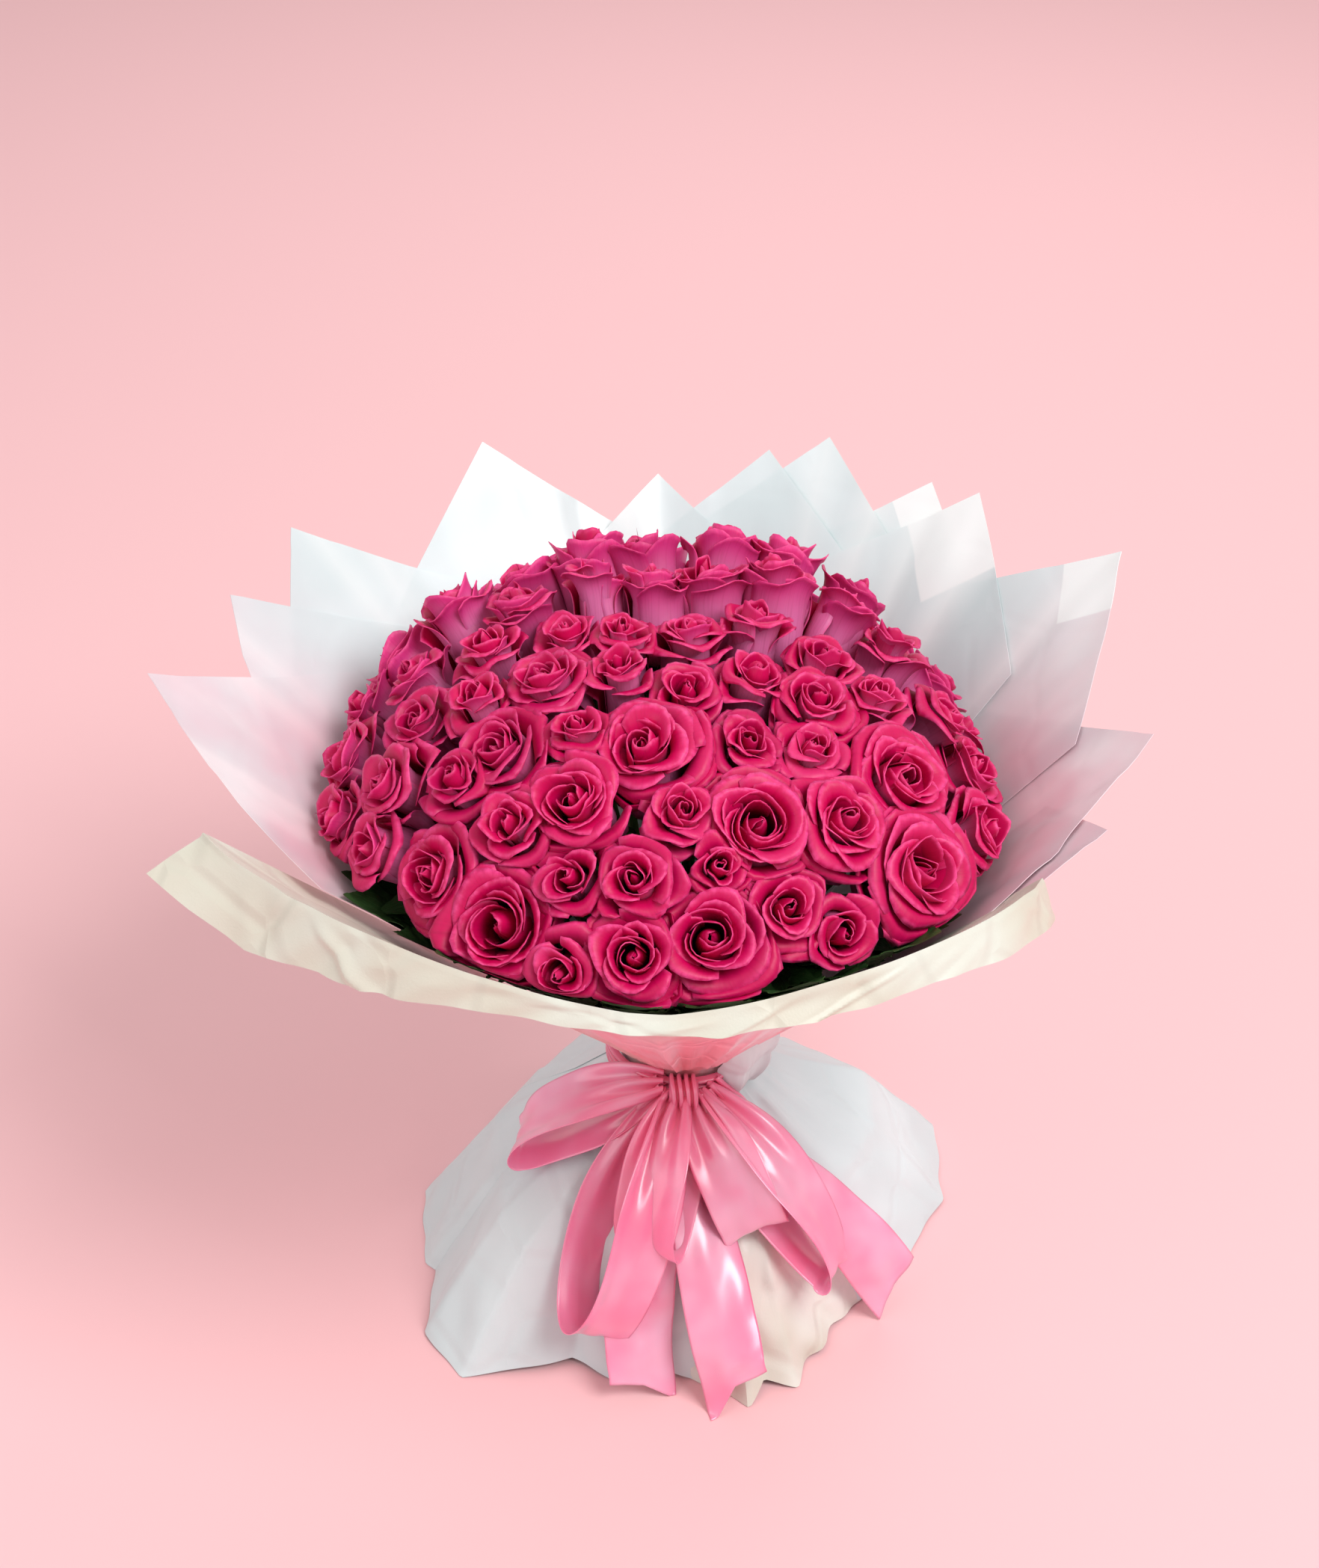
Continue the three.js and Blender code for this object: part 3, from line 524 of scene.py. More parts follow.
def turn_at(u, first, last):
    """Azimuth across a sheet: first where u is -1, last where it is 1."""
    return first + (last - first) * (u + 1) / 2


def wrap_plane(azimuth, margin):
    """Plane that touches the wrap at an azimuth, as a normal and a limit."""
    lip_radius, lip_height = along(WRAP_LIP, azimuth), along(WRAP_LIP, azimuth, 2)
    slope = min(COLLAR_SLOPE, (lip_radius - WAIST_RADIUS) / (lip_height - WAIST_TOP))
    out = polar(azimuth, 1, 0)
    normal = unit(np.array([out[0], out[1], -slope - out[0] * HEAD_LEAN / LEAN_HEIGHT]))
    return normal, normal @ polar(azimuth, WAIST_RADIUS, WAIST_TOP) - margin


def skirt_fall(height, low_share):
    """Share of the skirt's flare at a height: 1 at the hem, low_share a little above it, 0 at the tie."""
    return np.interp(height, SKIRT_FALLS, [1, low_share, SKIRT_KNEE_SHARE, 0.3, 0])


def skirt_radius(azimuth, height, layer):
    turn = np.where(np.asarray(azimuth) > 180, np.asarray(azimuth) - 360, azimuth)
    top = WAIST_RADIUS + layer_spread(0, layer)
    flare = rounded(SKIRT_HEM, turn) - WAIST_RADIUS + SKIRT_SPREAD * (layer - SKIRT_OUTER)
    return top + flare * skirt_fall(height, 0.9)


# ---- Materials ----
STEM_BLUSH = (0.16, 0.05, 0.04, 1)
STEM_CUT = (0.55, 0.6, 0.32, 1)
TWINE_SHADE = (0.16, 0.10, 0.045, 1)
TWINE_FIBRE = (0.6, 0.46, 0.27, 1)
PAPER_GLEAM = (0.93, 0.97, 0.96, 1)
# Painted show-through of the blooms' pink on the collar.
PAINTED_SHOW_THROUGH_PINK = (0.86, 0.33, 0.44, 1)
# Pink of the film over the neck, partly painted reflection of the ribbon.
FILM_AND_REFLECTION_PINK = (1.0, 0.36, 0.42, 1)
# Painted highlight on the raised crests of the film's gathers.
PAINTED_FILM_HIGHLIGHT = (1.0, 0.66, 0.72, 1)


class Shader:
    """Builds one material's nodes: each call adds a node and returns its output."""

    def __init__(self, name):
        self.material = bpy.data.materials.new(name)
        self.material.use_nodes = True
        self.tree = self.material.node_tree
        self.surface = self.tree.nodes["Principled BSDF"]

    def node(self, kind, inputs=None, **settings):
        made = self.tree.nodes.new(kind)
        for key, value in settings.items():
            setattr(made, key, value)
        for key, value in (inputs or {}).items():
            self.feed(made.inputs[key], value)
        return made

    def feed(self, socket, value):
        if isinstance(value, bpy.types.NodeSocket):
            self.tree.links.new(value, socket)
        else:
            socket.default_value = value

    def set(self, **values):
        for key, value in values.items():
            self.feed(self.surface.inputs[key.replace("_", " ")], value)

    def math(self, operation, *values, clamp=False):
        made = self.node("ShaderNodeMath", operation=operation, use_clamp=clamp)
        for socket, value in zip(made.inputs, values):
            self.feed(socket, value)
        return made.outputs[0]

    def mix(self, factor, first, second, blend="MIX"):
        made = self.node("ShaderNodeMix", data_type="RGBA", blend_type=blend)
        self.feed(made.inputs["Factor"], factor)
        self.feed(made.inputs[6], first)
        self.feed(made.inputs[7], second)
        return made.outputs[2]

    def steps(self, value, low, high):
        made = self.node("ShaderNodeMapRange", {"Value": value, "From Min": low, "From Max": high},
                         interpolation_type="SMOOTHSTEP")
        return made.outputs[0]

    def attribute(self, name):
        return self.node("ShaderNodeAttribute", attribute_name=name).outputs["Fac"]

    def place(self, source="Object", scale=(1, 1, 1)):
        """Object or UV coordinates, stretched by scale."""
        coordinates = self.node("ShaderNodeTexCoord").outputs[source]
        return self.node("ShaderNodeMapping", {"Vector": coordinates, "Scale": scale}).outputs[0]

    def noise(self, vector, scale, detail=3.0, distortion=0.0):
        return self.node("ShaderNodeTexNoise", {
            "Vector": vector, "Scale": scale, "Detail": detail, "Distortion": distortion}).outputs["Fac"]

    def uv_split(self):
        """Distance from the middle line, 0 to 0.5, and place along a petal, leaf or ribbon, 0 to 1."""
        uv = self.node("ShaderNodeSeparateXYZ", {"Vector": self.place("UV")})
        return self.math("ABSOLUTE", self.math("SUBTRACT", uv.outputs["X"], 0.5)), uv.outputs["Y"]

    def masked(self, mask, strength, first, second):
        """The second colour over the first, as far as the mask and the strength say."""
        return self.mix(self.math("MULTIPLY", mask, strength), first, second)

    def bump(self, height, strength, distance):
        made = self.node("ShaderNodeBump", {"Height": height, "Strength": strength, "Distance": distance})
        self.feed(self.surface.inputs["Normal"], made.outputs[0])

    def group(self, tree, **inputs):
        made = self.node("ShaderNodeGroup", node_tree=tree)
        for key, value in inputs.items():
            self.feed(made.inputs[key.replace("_", " ")], value)
        return made.outputs


def new_group(name, inputs, outputs):
    """A node group with sockets of those names, and its own input and output nodes."""
    tree = bpy.data.node_groups.new(name, "ShaderNodeTree")
    for socket in inputs:
        tree.interface.new_socket(socket, in_out="INPUT", socket_type="NodeSocketFloat")
    for socket in outputs:
        tree.interface.new_socket(socket, in_out="OUTPUT", socket_type="NodeSocketFloat")
    return tree, tree.nodes.new("NodeGroupInput"), tree.nodes.new("NodeGroupOutput")


def veins_group():
    """Fine lines that run from the foot of a petal or leaf and fan out to its edge, as a mask."""
    tree, inputs, outputs = new_group("Fanned veins", ["Count", "Waver"], ["Mask"])
    coordinates = tree.nodes.new("ShaderNodeTexCoord")
    split = tree.nodes.new("ShaderNodeSeparateXYZ")
    stretch = tree.nodes.new("ShaderNodeCombineXYZ")
    across = tree.nodes.new("ShaderNodeMath")
    across.operation = "MULTIPLY"
    noise = tree.nodes.new("ShaderNodeTexNoise")
    noise.inputs["Scale"].default_value = 1
    noise.inputs["Detail"].default_value = 2
    link = tree.links.new
    link(coordinates.outputs["UV"], split.inputs[0])
    link(split.outputs["X"], across.inputs[0])
    link(inputs.outputs["Count"], across.inputs[1])
    link(across.outputs[0], stretch.inputs["X"])
    link(split.outputs["Y"], stretch.inputs["Y"])
    link(stretch.outputs[0], noise.inputs["Vector"])
    link(inputs.outputs["Waver"], noise.inputs["Distortion"])
    link(noise.outputs["Fac"], outputs.inputs["Mask"])
    return tree


def petal_material(settings, veins):
    shader = Shader("rose petal")
    outer = shader.attribute("outer")
    tint = shader.attribute("tint")
    heart = shader.attribute("heart")
    across, height = shader.uv_split()
    rim = shader.steps(height, 0.86, 1.0)
    margin = shader.math("MAXIMUM", rim, shader.steps(across, 0.45, 0.52), clamp=True)
    fleck = shader.noise(shader.place(), 260.0, 4.0)
    # The inner face darkens towards its foot: painted shade deep in the bloom. The veins, drawn below in the
    # same dark colour, are the petal's own.
    inside = shader.mix(shader.steps(height, 0.15, 0.75), settings.petal_shade_and_veins, settings.petal_inside)
    bloomed = shader.mix(shader.steps(height, 0.95, 0.35), settings.petal_back, settings.petal_pale)
    outside = shader.math("MULTIPLY", outer, shader.steps(heart, 0.5, 0.0))
    face = shader.mix(outside, inside, bloomed)
    edged = shader.masked(margin, shader.steps(fleck, 0.2, 0.8), face, settings.petal_edge)
    vein = shader.group(veins, Count=34.0, Waver=0.4)["Mask"]
    veined = shader.masked(shader.steps(vein, 0.45, 0.75), 0.2, edged, settings.petal_shade_and_veins)
    aged = shader.masked(shader.steps(tint, 0.1, 1.0), 0.5, veined, settings.petal_aged)
    pale = shader.masked(shader.steps(tint, -0.2, -1.0), 0.35, aged, settings.petal_edge)
    roughness = shader.math("MULTIPLY_ADD", fleck, 0.2, 0.36)
    shader.set(Base_Color=pale, Roughness=roughness, Specular_IOR_Level=0.35,
               Subsurface_Weight=0.1, Subsurface_Radius=(1.0, 0.1, 0.3), Subsurface_Scale=0.003)
    shader.bump(vein, 0.25, 0.0004)
    return shader.material


def leaf_material(settings, veins):
    shader = Shader("rose leaf")
    outer = shader.attribute("outer")
    across, height = shader.uv_split()
    midrib = shader.steps(across, 0.03, 0.0)
    slanted = shader.math("SUBTRACT", shader.math("MULTIPLY", height, 9.0),
                          shader.math("MULTIPLY", across, 7.0))
    ridge = shader.math("ABSOLUTE", shader.math("SUBTRACT", shader.math("FRACT", slanted), 0.5))
    line = shader.math("MAXIMUM", shader.steps(ridge, 0.08, 0.0), midrib)
    patch = shader.noise(shader.place(), 90.0, 4.0)
    green = shader.mix(patch, settings.leaf_dark, settings.leaf_colour)
    two_sided = shader.masked(outer, 0.55, green, settings.leaf_under)
    lined = shader.masked(line, 0.45, two_sided, settings.leaf_under)
    shader.set(Base_Color=lined, Roughness=shader.math("MULTIPLY_ADD", patch, 0.3, 0.3),
               Specular_IOR_Level=0.25)
    shader.bump(shader.math("MULTIPLY_ADD", line, -1.0, shader.group(veins, Count=20.0, Waver=1.0)["Mask"]),
                0.5, 0.0005)
    return shader.material


def stem_material(settings):
    shader = Shader("rose stem")
    streak = shader.noise(shader.place("Object", (1, 1, 0.12)), 420.0, 4.0)
    height = shader.node("ShaderNodeSeparateXYZ", {"Vector": shader.place()}).outputs["Z"]
    bark = shader.mix(streak, settings.leaf_dark, settings.stem_colour)
    blush = shader.mix(shader.steps(shader.noise(shader.place(), 60.0), 0.55, 0.8), bark, STEM_BLUSH)
    cut = shader.mix(shader.steps(height, 0.0006, 0.0001), blush, STEM_CUT)
    shader.set(Base_Color=cut, Roughness=0.5)
    shader.bump(streak, 0.4, 0.0005)
    return shader.material


def twine_material(settings):
    shader = Shader("jute twine")
    ply = shader.node("ShaderNodeTexWave", {
        "Vector": shader.place(), "Scale": 190.0, "Distortion": 3.0, "Detail": 3.0},
        bands_direction="Z")
    fibre = shader.noise(shader.place("Object", (1, 1, 4)), 900.0, 6.0)
    shade = shader.mix(ply.outputs["Fac"], TWINE_SHADE, settings.twine_colour)
    shader.set(Base_Color=shader.masked(fibre, 0.3, shade, TWINE_FIBRE), Roughness=0.9)
    shader.bump(shader.math("ADD", ply.outputs["Fac"], fibre), 0.7, 0.0008)
    return shader.material


def paper_grain_group():
    """Cloudy fibres and soft handling creases of the wrapping paper, as a mask and a height."""
    tree, inputs, outputs = new_group("Paper grain", ["Fibre Scale"], ["Mask", "Height"])
    coordinates = tree.nodes.new("ShaderNodeTexCoord")
    fibre = tree.nodes.new("ShaderNodeTexNoise")
    fibre.inputs["Detail"].default_value = 6
    cloud = tree.nodes.new("ShaderNodeTexNoise")
    cloud.inputs["Scale"].default_value = 14
    cloud.inputs["Detail"].default_value = 2
    crease = tree.nodes.new("ShaderNodeTexVoronoi")
    crease.feature = "DISTANCE_TO_EDGE"
    crease.inputs["Scale"].default_value = 22
    soft = tree.nodes.new("ShaderNodeMapRange")
    soft.interpolation_type = "SMOOTHSTEP"
    soft.inputs["From Max"].default_value = 0.12
    height = tree.nodes.new("ShaderNodeMath")
    height.operation = "MULTIPLY_ADD"
    height.inputs[1].default_value = 0.12
    link = tree.links.new
    for texture in (fibre, cloud, crease):
        link(coordinates.outputs["Object"], texture.inputs["Vector"])
    link(inputs.outputs["Fibre Scale"], fibre.inputs["Scale"])
    link(crease.outputs["Distance"], soft.inputs["Value"])
    link(fibre.outputs["Fac"], height.inputs[0])
    link(soft.outputs[0], height.inputs[2])
    link(cloud.outputs["Fac"], outputs.inputs["Mask"])
    link(height.outputs[0], outputs.inputs["Height"])
    return tree


def paper_material(name, colour, shade, grain, gloss, creases, film=None, blush=None):
    """Wrapping paper, with the neck's film, partly painted reflection of the ribbon, and the blooms' blush,
    their pink painted as if seen through the paper, each of a colour where the attribute of that name says.
    """
    shader = Shader(name)
    outputs = shader.group(grain, Fibre_Scale=900.0)
    tone = shader.mix(shader.steps(outputs["Mask"], 0.35, 0.7), shade, colour)
    roughness = shader.math("MULTIPLY_ADD", outputs["Mask"], 0.16, gloss)
    # The neck's pink: partly film, partly painted reflection of the ribbon.
    if film:
        cover = shader.attribute("film")
        streak = shader.noise(shader.place("Object", (1, 1, 0.25)), 60.0, 3.0)
        # Painted highlight: the gathers' raised crests are lighter, in streaks.
        painted_highlight = shader.math("MULTIPLY", shader.attribute("pleat"), shader.steps(streak, 0.2, 0.6))
        gathered = shader.mix(painted_highlight, film, PAINTED_FILM_HIGHLIGHT)
        tone = shader.mix(cover, tone, gathered)
        roughness = shader.math("MULTIPLY_ADD", cover, -0.2, roughness)
    if blush:
        # Painted highlight: the crests of the collar's folds are whiter, and glossier too.
        gleam = shader.math("MULTIPLY", shader.attribute("gleam"), 0.7)
        tone = shader.mix(gleam, tone, PAPER_GLEAM)
        # Painted show-through: the blooms' pink laid over the paper, in clouds, where the attribute says.
        cloud = shader.steps(shader.noise(shader.place(), 16.0, 3.0), 0.3, 0.65)
        shown = shader.attribute("blush")
        amount = shader.math("MULTIPLY_ADD", cloud, 0.45, 0.5)
        tone = shader.masked(shown, amount, tone, blush)
        doubled = shader.steps(shader.attribute("tip"), 1.02, 0.98)
        tone = shader.mix(doubled, tone, PAPER_GLEAM)
        roughness = shader.math("MULTIPLY_ADD", gleam, -0.15, roughness)
    shader.set(Base_Color=tone, Roughness=roughness,
               Subsurface_Weight=0.1, Subsurface_Radius=(1.0, 0.95, 0.95), Subsurface_Scale=0.004,
               Coat_Weight=0.25, Coat_Roughness=0.2)
    shader.bump(outputs["Height"], creases, 0.0014)
    return shader.material


def ribbon_material(settings):
    shader = Shader("satin ribbon")
    uv = shader.node("ShaderNodeSeparateXYZ", {"Vector": shader.place("UV")})
    threads = shader.noise(shader.place("UV", (1.0, 340.0, 1.0)), 3.0, 2.0)
    across = shader.math("ABSOLUTE", shader.math("SUBTRACT", uv.outputs["X"], 0.5))
    selvedge = shader.steps(across, 0.46, 0.49)
    # Painted shade where the ribbon is drawn in at the knot; the darker woven edge is the ribbon's own.
    deep = shader.attribute("gather")
    cloud = shader.noise(shader.place(), 22.0, 2.0)
    tone = shader.mix(shader.steps(cloud, 0.35, 0.7), settings.ribbon_colour, settings.ribbon_light)
    drawn = shader.masked(deep, 0.8, tone, settings.ribbon_shade_and_selvedge)
    shader.set(Base_Color=shader.masked(selvedge, 0.35, drawn, settings.ribbon_shade_and_selvedge),
               Roughness=shader.math("MULTIPLY_ADD", threads, 0.1, 0.3),
               Anisotropic=0.5, Sheen_Weight=0.12, Sheen_Roughness=0.35, Sheen_Tint=(1.0, 0.7, 0.85, 1),
               Subsurface_Weight=0.3, Subsurface_Radius=(1.0, 0.35, 0.5), Subsurface_Scale=0.006,
               Specular_IOR_Level=1.0, Coat_Weight=1.0, Coat_Roughness=0.25)
    shader.bump(threads, 0.12, 0.0002)
    return shader.material


# ---- Roses ----
PETAL_COLUMNS, PETAL_ROWS = 10, 13
BODY_SHARE = 0.27  # share of a petal's rows that make its body; the others lean out and roll over at its rim
ROLL_POWER = 2.7  # how late along its rim a petal rolls over
BLOOM_TILT = 0.15
BLOOM_LIFT = 5
RIM_LEAN = 0.36
FAR_LEAN = 0.3


def rolled(share, lean, bend, power=ROLL_POWER):
    """How far out and up a strip of length 1 has come at a share of it, leaning out and rolling over late."""
    steps = (np.arange(8) + 0.5) / 8
    angle = np.reshape(lean, (-1, 1)) + bend[:, None] * (share[:, None] * steps) ** power
    return share * np.sin(angle).mean(axis=1), share * np.cos(angle).mean(axis=1)


def petal_shape(bloom, flat, thickness):
    """Radius, angle and height of a bloom's petals about its axis, from the flat stack's points."""
    index, off = stack_places(flat)
    outer = np.sign(off)
    u, v = grid_shares(flat)
    count = index.max() + 1
    t = index / (count - 1)
    random = np.random.default_rng(bloom["index"] + PETAL_SEED)
    # The ninth draw isn't used, but it keeps its place before the draws of the bloom's habit.
    by_bend, by_length, by_top, by_width, by_start, by_wave, by_dip, by_lean, _ = (
        random.uniform(-1, 1, (9, count))[:, index])
    habit = random.uniform(-1, 1, 3)
    size, opened = bloom["radius"] * bloom["spread"], bloom["form"]

    def mix(bud, full):
        return bud + (full - bud) * opened

    goblet = bloom["goblet"]
    lean = np.radians(-8 + (mix(14, 42) + 7 * habit[0]) * (1 - 0.5 * goblet) * t ** 1.4 + 11 * by_lean)
    bend = np.radians(-30 + (mix(170, 200) + 22 * habit[1]) * smoothstep(t, 0.03, 0.85))
    bend = bend * (1 + 0.3 * by_bend) * (1 - 0.5 * goblet) * (0.8 + 0.5 * np.abs(u) ** 1.3)
    length = size * (0.4 + 0.36 * t) * (1 + 0.16 * by_length)
    top = mix(8, 1) + mix(-2, 5) * np.sin(np.pi * t ** 0.7) - (11 - 4 * goblet) * t ** 1.6 + 2.8 * by_top
    reach = size * mix(0.8, 1.04) * (0.09 + 0.91 * t ** (1.05 + 0.12 * habit[2]))
    half_turn = (2.0 - mix(0.7, 0.95) * t ** 0.6) * (1 + 0.16 * by_width)
    start = bloom["turn"] + index * GOLDEN_TURN + 0.45 * by_start

    body = np.clip(v / BODY_SHARE, 0, 1)
    corner = 1 - 0.34 * np.abs(u) ** 2.2 + (0.04 + 0.07 * t) * (1 - goblet) * np.exp(-(u / 0.22) ** 2)
    share = np.clip((v - BODY_SHARE) / (1 - BODY_SHARE), 0, 1) * corner
    full = np.ones_like(share)
    crest = np.clip(((np.pi / 2 - lean) / np.maximum(np.abs(bend), 1e-3)) ** (1 / ROLL_POWER), 0, 1)
    foot_height = top - length * rolled(crest, lean, bend)[1]
    foot_radius = np.maximum(2.0, reach - length * np.maximum(0, rolled(full, lean, bend)[0]))
    out, up = rolled(share, lean, bend)

    base_radius, base_height = 1.2, -HIP_DEPTH
    belly = (1 - body) ** 3, 3 * (1 - body) ** 2 * body, 3 * (1 - body) * body ** 2, body ** 3
    radius = (belly[0] * base_radius + belly[1] * (0.95 * foot_radius + 4)
              + (1.08 * belly[2] + belly[3]) * foot_radius)
    height = (belly[0] * base_height + belly[1] * (base_height + 2)
              + belly[2] * (foot_height - 0.35 * (foot_height - base_height)) + belly[3] * foot_height)
    radius = radius + length * out
    height = height + length * up

    radius = radius * (1 + (0.08 + 0.13 * (1 - t)) * u * body)
    radius = radius + (0.4 + 1.8 * t) * np.abs(u) ** 4 * share
    radius = radius + (0.5 + 1.3 * t) * np.sin(4.5 * u + 5 * by_wave) * share
    dip = (0.5 + 1.4 * t) * np.cos(5 * u + 5 * by_dip) * share ** 2
    height = height - 1.5 * t * np.abs(u) ** 4 * share + dip

    angle = lean + bend * share ** ROLL_POWER
    radius = radius + outer * thickness / 2 * np.cos(angle)
    height = height - outer * thickness / 2 * np.sin(angle)
    width_share = (0.5 + 0.5 * body) * (1 - 0.26 * t * share ** 2)
    return np.maximum(radius, 0.25), start + half_turn * width_share * u, height, t


def room_of(bloom):
    """Planes that bound a bloom's own room, as normals and limits."""
    normals, limits = [], []
    for other in BLOOMS:
        if other is bloom or np.linalg.norm(other["face"] - bloom["face"]) > NEIGHBOUR_REACH:
            continue
        middle = unit(bloom["axis"] * other["radius"] + other["axis"] * bloom["radius"])
        normal = unit(other["axis"] - middle * (other["axis"] @ middle))
        normals.append(normal)
        limits.append(normal @ FOCUS + PETAL_OVERLAP / 2)
    for side in PRESSED_SIDES:
        normal, limit = wrap_plane(bloom["azimuth"] + side, BLOOM_MARGIN)
        normals.append(normal)
        limits.append(limit)
    return np.array(normals), np.array(limits)


def kept_in(points, bloom):
    """Draws points in towards the bloom's axis, so that they keep to the bloom's room."""
    normals, limits = room_of(bloom)
    depth = (points - FOCUS) @ bloom["axis"]
    middle = FOCUS + depth[:, None] * bloom["axis"]
    out = points - middle
    reach = np.maximum(np.linalg.norm(out, axis=1), 1e-6)
    out = out / reach[:, None]
    slope = out @ normals.T
    room = limits - middle @ normals.T
    most = np.where(slope > 1e-6, room / np.maximum(slope, 1e-6), np.inf).min(axis=1)
    free = FREE_SHARE * most
    rest = np.maximum(most - free, 1e-6)
    pressed = free + rest * (1 - np.exp(-np.maximum(reach - free, 0) / rest))
    return middle + out * np.where(reach <= free, reach, pressed)[:, None]


def bloom_points(bloom, radius, angle, height):
    """Points about a bloom's own leaning axis, which turns about the hip under its petals."""
    draws = np.random.default_rng(bloom["index"] + TILT_SEED).uniform(-1, 1, 3)
    outward = polar(bloom["azimuth"], 1, 0)
    inner = 1 - bloom["rim"]
    x, y = bloom["face"][0] - HEAD_LEAN, bloom["face"][1]
    far = float(smoothstep(y, *FAR_BAND))
    lean = (BLOOM_TILT * (draws[0] * bloom["side"] + draws[1] * bloom["up"])
            + RIM_LEAN * bloom["rim"] * abs(outward[0]) * outward
            + FAR_LEAN * far * inner * np.array([0, 1, 0]))
    axis = unit(bloom["axis"] + lean)
    side = unit(bloom["side"] - axis * (bloom["side"] @ axis))
    up = np.cross(axis, side)
    crown = far * inner * (1.6 + 1.1 * math.exp(-((x - 45) / 60) ** 2) + 0.7 * (bloom["index"] % 2))
    stretch = 1 + BLOOM_LIFT * (0.8 * draws[2] + crown) / BLOOM_DEPTH
    centre = bloom["face"] - bloom["axis"] * BLOOM_DEPTH
    return (centre + (stretch * (height + BLOOM_DEPTH))[:, None] * axis
            + (radius * np.cos(angle))[:, None] * side + (radius * np.sin(angle))[:, None] * up)


def shape_rose(rose, bloom, thickness):
    flat = read_points(rose)
    radius, angle, height, t = petal_shape(bloom, flat, thickness)
    write_points(rose, kept_in(bloom_points(bloom, radius, angle, height), bloom))
    index, off = stack_places(flat)
    random = np.random.default_rng(bloom["index"] + TINT_SEED)
    # Blooms further back lean towards the darker tint.
    own = random.uniform(-0.5, 0.5) + 0.25 * smoothstep(bloom["face"][1], 0, 120)
    tint = own + random.uniform(-0.35, 0.35, index.max() + 1)[index]
    add_attribute(rose, "outer", off > 0)
    add_attribute(rose, "tint", tint)
    add_attribute(rose, "heart", np.clip(1 - 2.2 * t, 0, 1))


# ---- Leaves, stems and sepals ----
def add_stalk(name, sides, rings):
    """A capped round bar about z from -1 to 1, cut across into rings."""
    bpy.ops.object.select_all(action="DESELECT")
    bpy.ops.mesh.primitive_cylinder_add(vertices=sides, radius=1, depth=2)
    stalk = bpy.context.object
    stalk.name = name
    bpy.ops.object.mode_set(mode="EDIT")
    for ring in range(1, rings):
        bpy.ops.mesh.select_all(action="SELECT")
        bpy.ops.mesh.bisect(plane_co=(0, 0, -1 + 2 * ring / rings), plane_no=(0, 0, 1))
    bpy.ops.object.mode_set(mode="OBJECT")
    return stalk


def shape_stalk(stalk, centres, radii):
    """Puts a straight bar along centres, with radii, both given at the bar's own even steps."""
    flat = read_points(stalk)
    share = (flat[:, 2] + 1) / 2 * (len(centres) - 1)
    steps = np.arange(len(centres))
    centre = np.stack([np.interp(share, steps, centres[:, axis]) for axis in range(3)], axis=1)
    radius = np.interp(share, steps, radii)
    forward = unit(centres[-1] - centres[0])
    side = unit(np.cross(forward, (0.31, 0.95, 0.02)))
    up = np.cross(forward, side)
    points = centre + (flat[:, 0] * radius)[:, None] * side + (flat[:, 1] * radius)[:, None] * up
    points[:, 2] = np.maximum(points[:, 2], LOWEST)
    write_points(stalk, points)


def stem_line(bloom):
    top = bloom["face"] - bloom["axis"] * STEM_TOP
    share = (BUNDLE_RADIUS - 6) / (RIM_PLAN_RADIUS - 20)
    tie = np.array([-top[1] * share, top[0] * share, TIE_HEIGHT])
    cut = tie + (tie - top) * TIE_HEIGHT / (top[2] - TIE_HEIGHT)
    return top, tie, cut


def shape_stem(stem, bloom):
    """A stem from its slanted cut up to the hip under the petals, slightly waved, with thicker nodes."""
    top, _, cut = stem_line(bloom)
    hip = bloom["face"] - bloom["axis"] * HIP_DEPTH
    share = np.linspace(0, 1, STEM_RINGS - 2)
    wave = np.sin(np.pi * share) * np.sin(3 * np.pi * share + bloom["turn"]) * 1.2
    line = cut + share[:, None] * (top - cut) + wave[:, None] * bloom["side"]
    line[0, 2] = 0.35
    radii = STEM_RADIUS * (1 - 0.22 * share) * (1 + 0.14 * (np.sin(9 * share + bloom["turn"]) > 0.93))
    swelling = top + (hip - top) * 0.55
    centres = np.vstack([line, [swelling, hip, hip + bloom["axis"] * 1.5]])
    shape_stalk(stem, centres, np.append(radii, HIP_RADII))
    write_points(stem, pressed_in(placed_points(stem), bloom["azimuth"]))


def pressed_in(points, azimuth):
    """Presses what lies beyond the wrap back to its inner side, and keeps a little of its relief."""
    pressed = PRESSED_SHARE * smoothstep(points[:, 2], WAIST_TOP, WAIST_TOP + 40)
    for side in PRESSED_SIDES:
        normal, limit = wrap_plane(azimuth + side, BLOOM_MARGIN)
        points = points - (pressed * np.maximum(points @ normal - limit, 0))[:, None] * normal
    points[:, 2] = np.maximum(points[:, 2], LOWEST)
    return points


def shape_sepals(sepals, bloom):
    """Five narrow sepals under the petals, that bend out and down at their tips."""
    flat = read_points(sepals)
    index, off = stack_places(flat)
    u, v = grid_shares(flat)
    random = np.random.default_rng(bloom["index"] + SEPAL_SEED)
    by_bend, by_length = random.uniform(0, 1, (2, SEPAL_COUNT))[:, index]
    bend = 2.2 + 1.6 * by_bend
    length = 15 + 7 * by_length
    lean = SEPAL_LEAN + bend * v ** SEPAL_POWER
    out, up = rolled(v, SEPAL_LEAN, bend, SEPAL_POWER)
    half = 3.1 * (1 - v) ** 0.7 * (0.6 + 0.4 * np.sin(np.pi * np.clip(v + 0.3, 0, 1)))
    radius = HIP_RADII[0] + length * out + off / MM * np.cos(lean)
    height = -HIP_DEPTH + length * up - off / MM * np.sin(lean)
    angle = bloom["turn"] + index * 2 * np.pi / SEPAL_COUNT + half * u / np.maximum(radius, 5)
    write_points(sepals, kept_in(bloom_points(bloom, radius, angle, height), bloom))
    add_attribute(sepals, "outer", off > 0)


